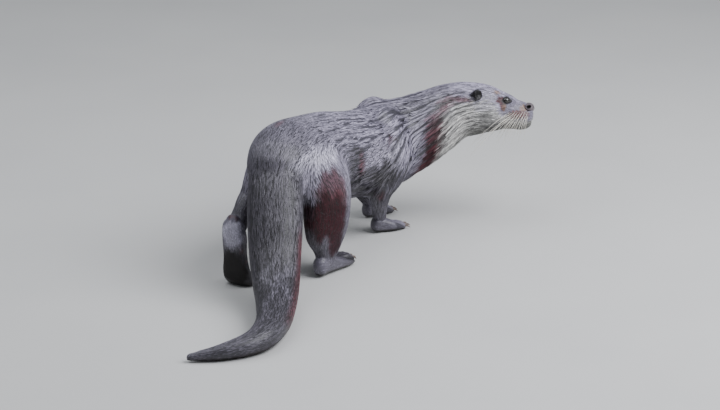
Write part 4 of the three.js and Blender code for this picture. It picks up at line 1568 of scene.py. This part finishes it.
def whiskers_mesh(surface):
    """Whiskers from the pads, which sweep back and hang with wet in bundles, and three above each eye."""
    tree = BVHTree.FromPolygons(surface.points.tolist(), surface.triangles.tolist())
    hairs = []
    for side in SIDES.values():
        roots = [(b, a, np.interp(a, WHISKER["rows"], WHISKER["radius"])) for b, a in follicle_places()]
        roots += [(61 + 3 * k, 24 + 1.5 * k, WHISKER["brow"]) for k in range(3)]
        bundles = RNG.normal(0, [0.07, 0.08, 0.08], (len(roots), 3))
        for k, (behind, above, radius) in enumerate(roots):
            outer = placed(in_head(behind, side * OUTSIDE, above))
            inward = placed(in_head(behind, 0.0, above)) - outer
            root, *_ = tree.ray_cast(Vector(outer), Vector(inward))
            if root is None:
                continue
            rear = np.interp(behind, WHISKER_LENGTH["pad"], [0, 1])
            length = (WHISKER_LENGTH["front"] + WHISKER_LENGTH["rear"] * rear) * RNG.uniform(0.65, 1.2)
            sweep = np.array([0.2 + 0.6 * rear, 0.34, 0.9 - 0.32 * rear]) + bundles[k - k % 3]
            back, out, down = sweep + RNG.normal(0, 0.02, 3)
            way = np.array([0.8 * back, side * 1.3 * out, -0.25 * down]) * 0.45 * length
            end = np.array([back, side * out * 0.8, -down]) * length
            start = head_view(np.array(root)[None])[0]
            bend, tip = in_millimetres(start + way[None])[0], in_millimetres(start + end[None])[0]
            hairs.append(whisker(np.array(root), bend, tip, radius * RNG.uniform(0.75, 1.15) * MM))
    return joined("whiskers", hairs)


# ---- Materials ----


class Nodes:
    """A node tree, with its nodes made and joined by name."""

    def __init__(self, tree):
        self.tree = tree

    def feed(self, socket, value):
        """Gives a socket a number, a colour or another node's output."""
        if isinstance(value, bpy.types.NodeSocket):
            self.tree.links.new(value, socket)
        else:
            socket.default_value = value

    def add(self, kind, inputs=None, **settings):
        """A node with its settings and what feeds its inputs."""
        node = self.tree.nodes.new(kind)
        for name, value in settings.items():
            setattr(node, name, value)
        for name, value in (inputs or {}).items():
            self.feed(node.inputs[name], value)
        return node

    def math(self, operation, *values):
        """One sum of numbers or outputs."""
        node = self.add("ShaderNodeMath", operation=operation)
        for socket, value in zip(node.inputs, values):
            self.feed(socket, value)
        return node.outputs[0]

    def product(self, *values):
        """Numbers or outputs multiplied together."""
        total = values[0]
        for value in values[1:]:
            total = self.math("MULTIPLY", total, value)
        return total

    def noise(self, place, scale, detail, **settings):
        """Noise from 0 to 1 at a place."""
        inputs = {"Vector": place, "Scale": scale, "Detail": detail, **settings}
        return self.add("ShaderNodeTexNoise", inputs).outputs["Fac"]

    def ramp(self, value, low, high, out_low, out_high):
        """value from low to high made into out_low to out_high, and held there beyond."""
        inputs = {"Value": value, "From Min": low, "From Max": high, "To Min": out_low, "To Max": out_high}
        return self.add("ShaderNodeMapRange", inputs).outputs["Result"]

    def scaled(self, colour, factor):
        """A colour with each channel multiplied by a factor."""
        node = self.add("ShaderNodeVectorMath", operation="SCALE")
        self.feed(node.inputs[0], colour)
        self.feed(node.inputs["Scale"], factor)
        return node.outputs[0]

    def ridged(self, shader, height, strength, distance):
        """Bumps of a height on a shader's surface."""
        inputs = {"Height": height, "Strength": strength, "Distance": distance}
        self.feed(shader.inputs["Normal"], self.add("ShaderNodeBump", inputs).outputs["Normal"])


def group(name, inputs, outputs):
    """An empty node group with sockets by name and kind: its nodes, its inputs and its output node."""
    tree = bpy.data.node_groups.new(name, "ShaderNodeTree")
    for way, sockets in (("INPUT", inputs), ("OUTPUT", outputs)):
        for label, kind in sockets.items():
            tree.interface.new_socket(label, in_out=way, socket_type=f"NodeSocket{kind}")
    nodes = Nodes(tree)
    return nodes, nodes.add("NodeGroupInput").outputs, nodes.add("NodeGroupOutput")


def hair_group():
    """Wet hair: painted shade at the root, paler to the tip, each lock its own tone, with fine strands
    along it.
    """
    inputs = {"Colour": "Color", "Lock": "Vector", "Strands": "Float", "Root": "Float"}
    outputs = {"Colour": "Color", "Roughness": "Float", "Height": "Float", "Sheen": "Float"}
    nodes, given, result = group("wet_hair", inputs, outputs)
    split = nodes.add("ShaderNodeSeparateXYZ", {"Vector": given["Lock"]}).outputs
    tone, along, across = split["X"], split["Y"], split["Z"]
    offset = nodes.math("MULTIPLY", tone, 37.0)
    sideways = nodes.math("ADD", nodes.math("MULTIPLY", across, given["Strands"]), offset)
    place = {"X": sideways, "Y": nodes.math("MULTIPLY", along, 1.3), "Z": offset}
    strand = nodes.noise(nodes.add("ShaderNodeCombineXYZ", place).outputs[0], 1.0, 2.0, Roughness=0.6)
    broad = nodes.noise(nodes.add("ShaderNodeTexCoord").outputs["Object"], 26.0, 3.0)
    # The first factor is painted shade at each lock's root, where the next locks cover it
    shade = nodes.product(
        nodes.ramp(along, 0.0, 0.55, given["Root"], 1.0),
        nodes.ramp(tone, 0.0, 1.0, 0.4, 1.6),
        nodes.ramp(strand, 0.3, 0.7, 0.7, 1.3),
        nodes.ramp(broad, 0.3, 0.7, 0.8, 1.2),
    )
    bright = nodes.add("ShaderNodeSeparateColor", {"Color": given["Colour"]}).outputs["Green"]
    made = {"Colour": nodes.scaled(given["Colour"], shade), "Height": strand}
    made["Roughness"] = nodes.ramp(strand, 0.3, 0.7, 0.3, 0.46)
    made["Sheen"] = nodes.ramp(bright, 0.02, 0.16, 0.03, 0.5)
    for label, value in made.items():
        nodes.feed(result.inputs[label], value)
    return nodes.tree


def shader_of(name, constants):
    """A new material with its shader's fixed values: the material, its nodes and the shader."""
    material = bpy.data.materials.new(name)
    material.use_nodes = True
    shader = material.node_tree.nodes["Principled BSDF"]
    for label, value in constants.items():
        shader.inputs[label].default_value = value
    return material, Nodes(material.node_tree), shader


def attribute_of(nodes, name, output):
    """A mesh attribute's value in a material."""
    return nodes.add("ShaderNodeAttribute", attribute_name=name).outputs[output]


def wet_coat(hair, name, strands, root, bump):
    """The coat's material, for the locks and for the skin under them. root is the painted shade at a lock's
    root.
    """
    material, nodes, shader = shader_of(name, {"Coat Roughness": 0.26, "Specular IOR Level": 0.3})
    inputs = {"Lock": attribute_of(nodes, "lock", "Vector"), "Strands": strands, "Root": root}
    inputs["Colour"] = attribute_of(nodes, "coat_colour", "Color")
    wet = nodes.add("ShaderNodeGroup", inputs, node_tree=hair).outputs
    fed = {"Base Color": wet["Colour"], "Roughness": wet["Roughness"], "Coat Weight": wet["Sheen"]}
    for label, value in fed.items():
        nodes.feed(shader.inputs[label], value)
    nodes.ridged(shader, wet["Height"], bump, 0.0004)
    return material


def grained(name, colour, deep, roughness, scale, bump=0.3, painted_shade_where=None, **constants):
    """A fine-grained surface: two colours mixed by noise, with bumps. An attribute may blacken it as
    painted shade.
    """
    material, nodes, shader = shader_of(name, constants)
    grain = nodes.noise(nodes.add("ShaderNodeTexCoord").outputs["Object"], scale, 4.0, Roughness=0.6)
    mix = nodes.add("ShaderNodeMix", data_type="RGBA")
    nodes.feed(mix.inputs["Factor"], nodes.ramp(grain, 0.3, 0.7, 0.0, 1.0))
    for socket, shade in zip((socket for socket in mix.inputs if socket.type == "RGBA"), (deep, colour)):
        nodes.feed(socket, (*shade, 1))
    seen = mix.outputs[2]
    rough = nodes.ramp(grain, 0.3, 0.7, roughness * 0.85, roughness * 1.15)
    if painted_shade_where:
        pit = attribute_of(nodes, painted_shade_where, "Fac")
        # Painted shade: the nostrils' pits are blackened
        seen = nodes.scaled(seen, nodes.ramp(pit, 0.0, 0.6, 1.0, 0.02))
        gloss = nodes.ramp(pit, 0.0, 0.5, constants["Coat Weight"], 0.0)
        nodes.feed(shader.inputs["Coat Weight"], gloss)
        rough = nodes.math("MAXIMUM", rough, pit)
    nodes.feed(shader.inputs["Base Color"], seen)
    nodes.feed(shader.inputs["Roughness"], rough)
    nodes.ridged(shader, grain, bump, 0.0005)
    return material


# The eye from the middle of its gaze out: share of EYE_SEEN, an angle in radians, and colour
EYE_SEEN = 1.2
EYE_RINGS = [
    (0.0, (0.002, 0.002, 0.002)),  # pupil
    (0.27, (0.002, 0.002, 0.002)),
    (0.33, (0.014, 0.007, 0.004)),  # iris
    (0.55, (0.009, 0.005, 0.003)),
    (0.62, (0.004, 0.003, 0.003)),  # dark rim
]


def eye_material():
    """A dark brown eye with a round pupil under a clear wet front."""
    gloss = {"Roughness": 0.12, "Coat Weight": 1.0, "Coat Roughness": 0.03}
    material, nodes, shader = shader_of("wet_eye", gloss)
    angle = attribute_of(nodes, "gaze", "Fac")
    ramp = nodes.add("ShaderNodeValToRGB", {"Fac": nodes.ramp(angle, 0.0, EYE_SEEN, 0.0, 1.0)})
    stops = ramp.color_ramp.elements
    stops.remove(stops[1])
    for k, (place, colour) in enumerate(EYE_RINGS):
        stop = stops.new(place) if k else stops[0]
        stop.position, stop.color = place, (*colour, 1)
    nodes.feed(shader.inputs["Base Color"], ramp.outputs["Color"])
    return material


# ---- Camera, floor and light ----


def camera():
    """A long lens from the animal's right and a little behind, 18 degrees above the horizon."""
    target = placed([120, -68, 85])
    turn, rise, distance = math.radians(-60), math.radians(18), 4.0
    back = np.array([math.sin(turn) * math.cos(rise), -math.cos(turn) * math.cos(rise), math.sin(rise)])
    lens = bpy.data.cameras.new("camera")
    lens.lens, lens.sensor_width = 126, 36
    eye = bpy.data.objects.new("camera", lens)
    eye.location = target + back * distance
    eye.rotation_euler = Vector(-back).to_track_quat("-Z", "Y").to_euler()
    bpy.context.scene.collection.objects.link(eye)
    bpy.context.scene.camera = eye


FLOOR_HALF = 6  # half the floor's width, in metres


def area_light(name, place, aim, size, watts, colour):
    """A square soft box at a place, turned towards a point."""
    lamp = bpy.data.lights.new(name, "AREA")
    lamp.size, lamp.energy, lamp.color = size, watts, colour
    box = bpy.data.objects.new(name, lamp)
    box.location = place
    box.rotation_euler = (Vector(aim) - Vector(place)).to_track_quat("-Z", "Y").to_euler()
    bpy.context.scene.collection.objects.link(box)


def studio():
    """A pale floor under a wide cool soft box, with a fill from the far side and an even pale surround."""
    corners = FLOOR_HALF * np.array([[-1, -1, 0], [1, -1, 0], [1, 1, 0], [-1, 1, 0]])
    floor = bpy.data.objects.new("floor", mesh_from("floor", corners, np.arange(4)[None]))
    paint = grained("floor_paint", (0.62, 0.62, 0.6), (0.6, 0.6, 0.585), 0.8, 3.0, bump=0.0)
    floor.data.materials.append(paint)
    bpy.context.scene.collection.objects.link(floor)
    middle = (0, 0, 0.12)
    area_light("sky", (0.35, -1.6, 1.85), middle, 2.0, 88, (0.93, 0.94, 1.0))
    area_light("top", (-0.3, 0.9, 2.2), middle, 2.4, 26, (0.92, 0.94, 1.0))
    world = bpy.data.worlds.new("surround")
    world.use_nodes = True
    surround = world.node_tree.nodes["Background"].inputs
    surround["Color"].default_value, surround["Strength"].default_value = (0.78, 0.82, 0.88, 1), 0.36
    bpy.context.scene.world = world


# ---- The animal ----


SKIN_TONE = 0.35  # the skin's tone between the locks, where a lock's own lies from 0 to 1
# Painted shade under the coat: the skin under long hair is darkened like a lock's root
LONG_HAIR = 12 * MM  # under hair as long as this the skin is as dark as a lock's root


def piece(name, mesh, material, slot, *nodes):
    """A finished piece on the animal's one body, in place of CAD nodes."""
    mesh.name = name
    made = bpy.data.objects.new(name, mesh)
    bpy.context.scene.collection.objects.link(made)
    made.data.materials.clear()
    made.data.materials.append(material)
    made.data.polygons.foreach_set("use_smooth", np.ones(len(mesh.polygons), bool))
    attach(made, "root")
    if nodes:
        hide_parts(*nodes)
    return made


def dressed_skin(mesh):
    """The skin with its colours and the lie of its hair, and the locks that grow from it.

    The skin's own lock attribute holds one tone, a painted shade that is paler under short hair, and the
    way round the line in widths of a lock, which gives it strands as fine as the locks'.
    """
    surface = Surface(mesh)
    lie = Lie(surface.points)
    heading, normal = hair_lie(surface, lie)
    lie.normal = normal
    colours = coat_colours(surface.points, lie)
    rgba = np.column_stack([colours, np.ones(len(colours))])
    add_attribute(mesh, "coat_colour", "FLOAT_COLOR", rgba)
    length, width = lie.locks[:, 0] * MM, lie.locks[:, 1] * MM
    radius = np.array([limb.reach.mean() for limb in LIMBS.values()])[lie.owner]
    under = np.clip(1 - length / LONG_HAIR, 0, 0.7)
    strands = lie.along_owner(lie.angle) * radius / width
    lock = np.stack([np.full_like(length, SKIN_TONE), under * 0.5, strands], -1)
    add_attribute(mesh, "lock", "FLOAT_VECTOR", lock)
    return surface, grown_locks(surface, lie, heading, normal, colours)


camera()
studio()

skin = skin_mesh()
surface, locks = dressed_skin(skin)
hair = hair_group()
lock_coat = wet_coat(hair, "wet_coat", 5.0, 0.2, 0.5)
FLESH = [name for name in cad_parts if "claw" not in name and not name.startswith(("eye", "nose"))]
piece("skin", skin, lock_coat, "coat", *FLESH)
for name in COAT_PIECES:
    piece(name, coat_piece(name, locks), lock_coat, "coat")

eye = eye_material()
for name, side in SIDES.items():
    piece(f"eyeball_{name}", eyeball(side), eye, "eye", f"eye_{name}")

NOSE_SKIN = {"colour": (0.16, 0.135, 0.145), "deep": (0.085, 0.066, 0.072), "roughness": 0.35}
NOSE_GLOSS = {"Coat Weight": 0.5, "Coat Roughness": 0.2}
nose_skin = grained("wet_nose", **NOSE_SKIN, scale=900, bump=0.5, painted_shade_where="nostril", **NOSE_GLOSS)
piece("nose_pad", nose_mesh(), nose_skin, "nose", "nose")

horn = grained("horn", (0.2, 0.15, 0.12), (0.1, 0.07, 0.055), 0.35, 400, 0.15)
leather = grained("pad_leather", (0.04, 0.03, 0.03), (0.02, 0.015, 0.015), 0.6, 700)
for name in FEET:
    claw_nodes = [f"{name}_claw_{k + 1}" for k in range(len(TOE_SHARES))]
    piece(f"claws_{name}", claws_mesh(name), horn, "claw", *claw_nodes)
    piece(f"pads_{name}", pads_mesh(name), leather, "paw")

whisker_hair = grained("whisker_hair", (0.85, 0.82, 0.74), (0.66, 0.62, 0.55), 0.35, 300, bump=0.05)
piece("whiskers", whiskers_mesh(surface), whisker_hair, "coat")
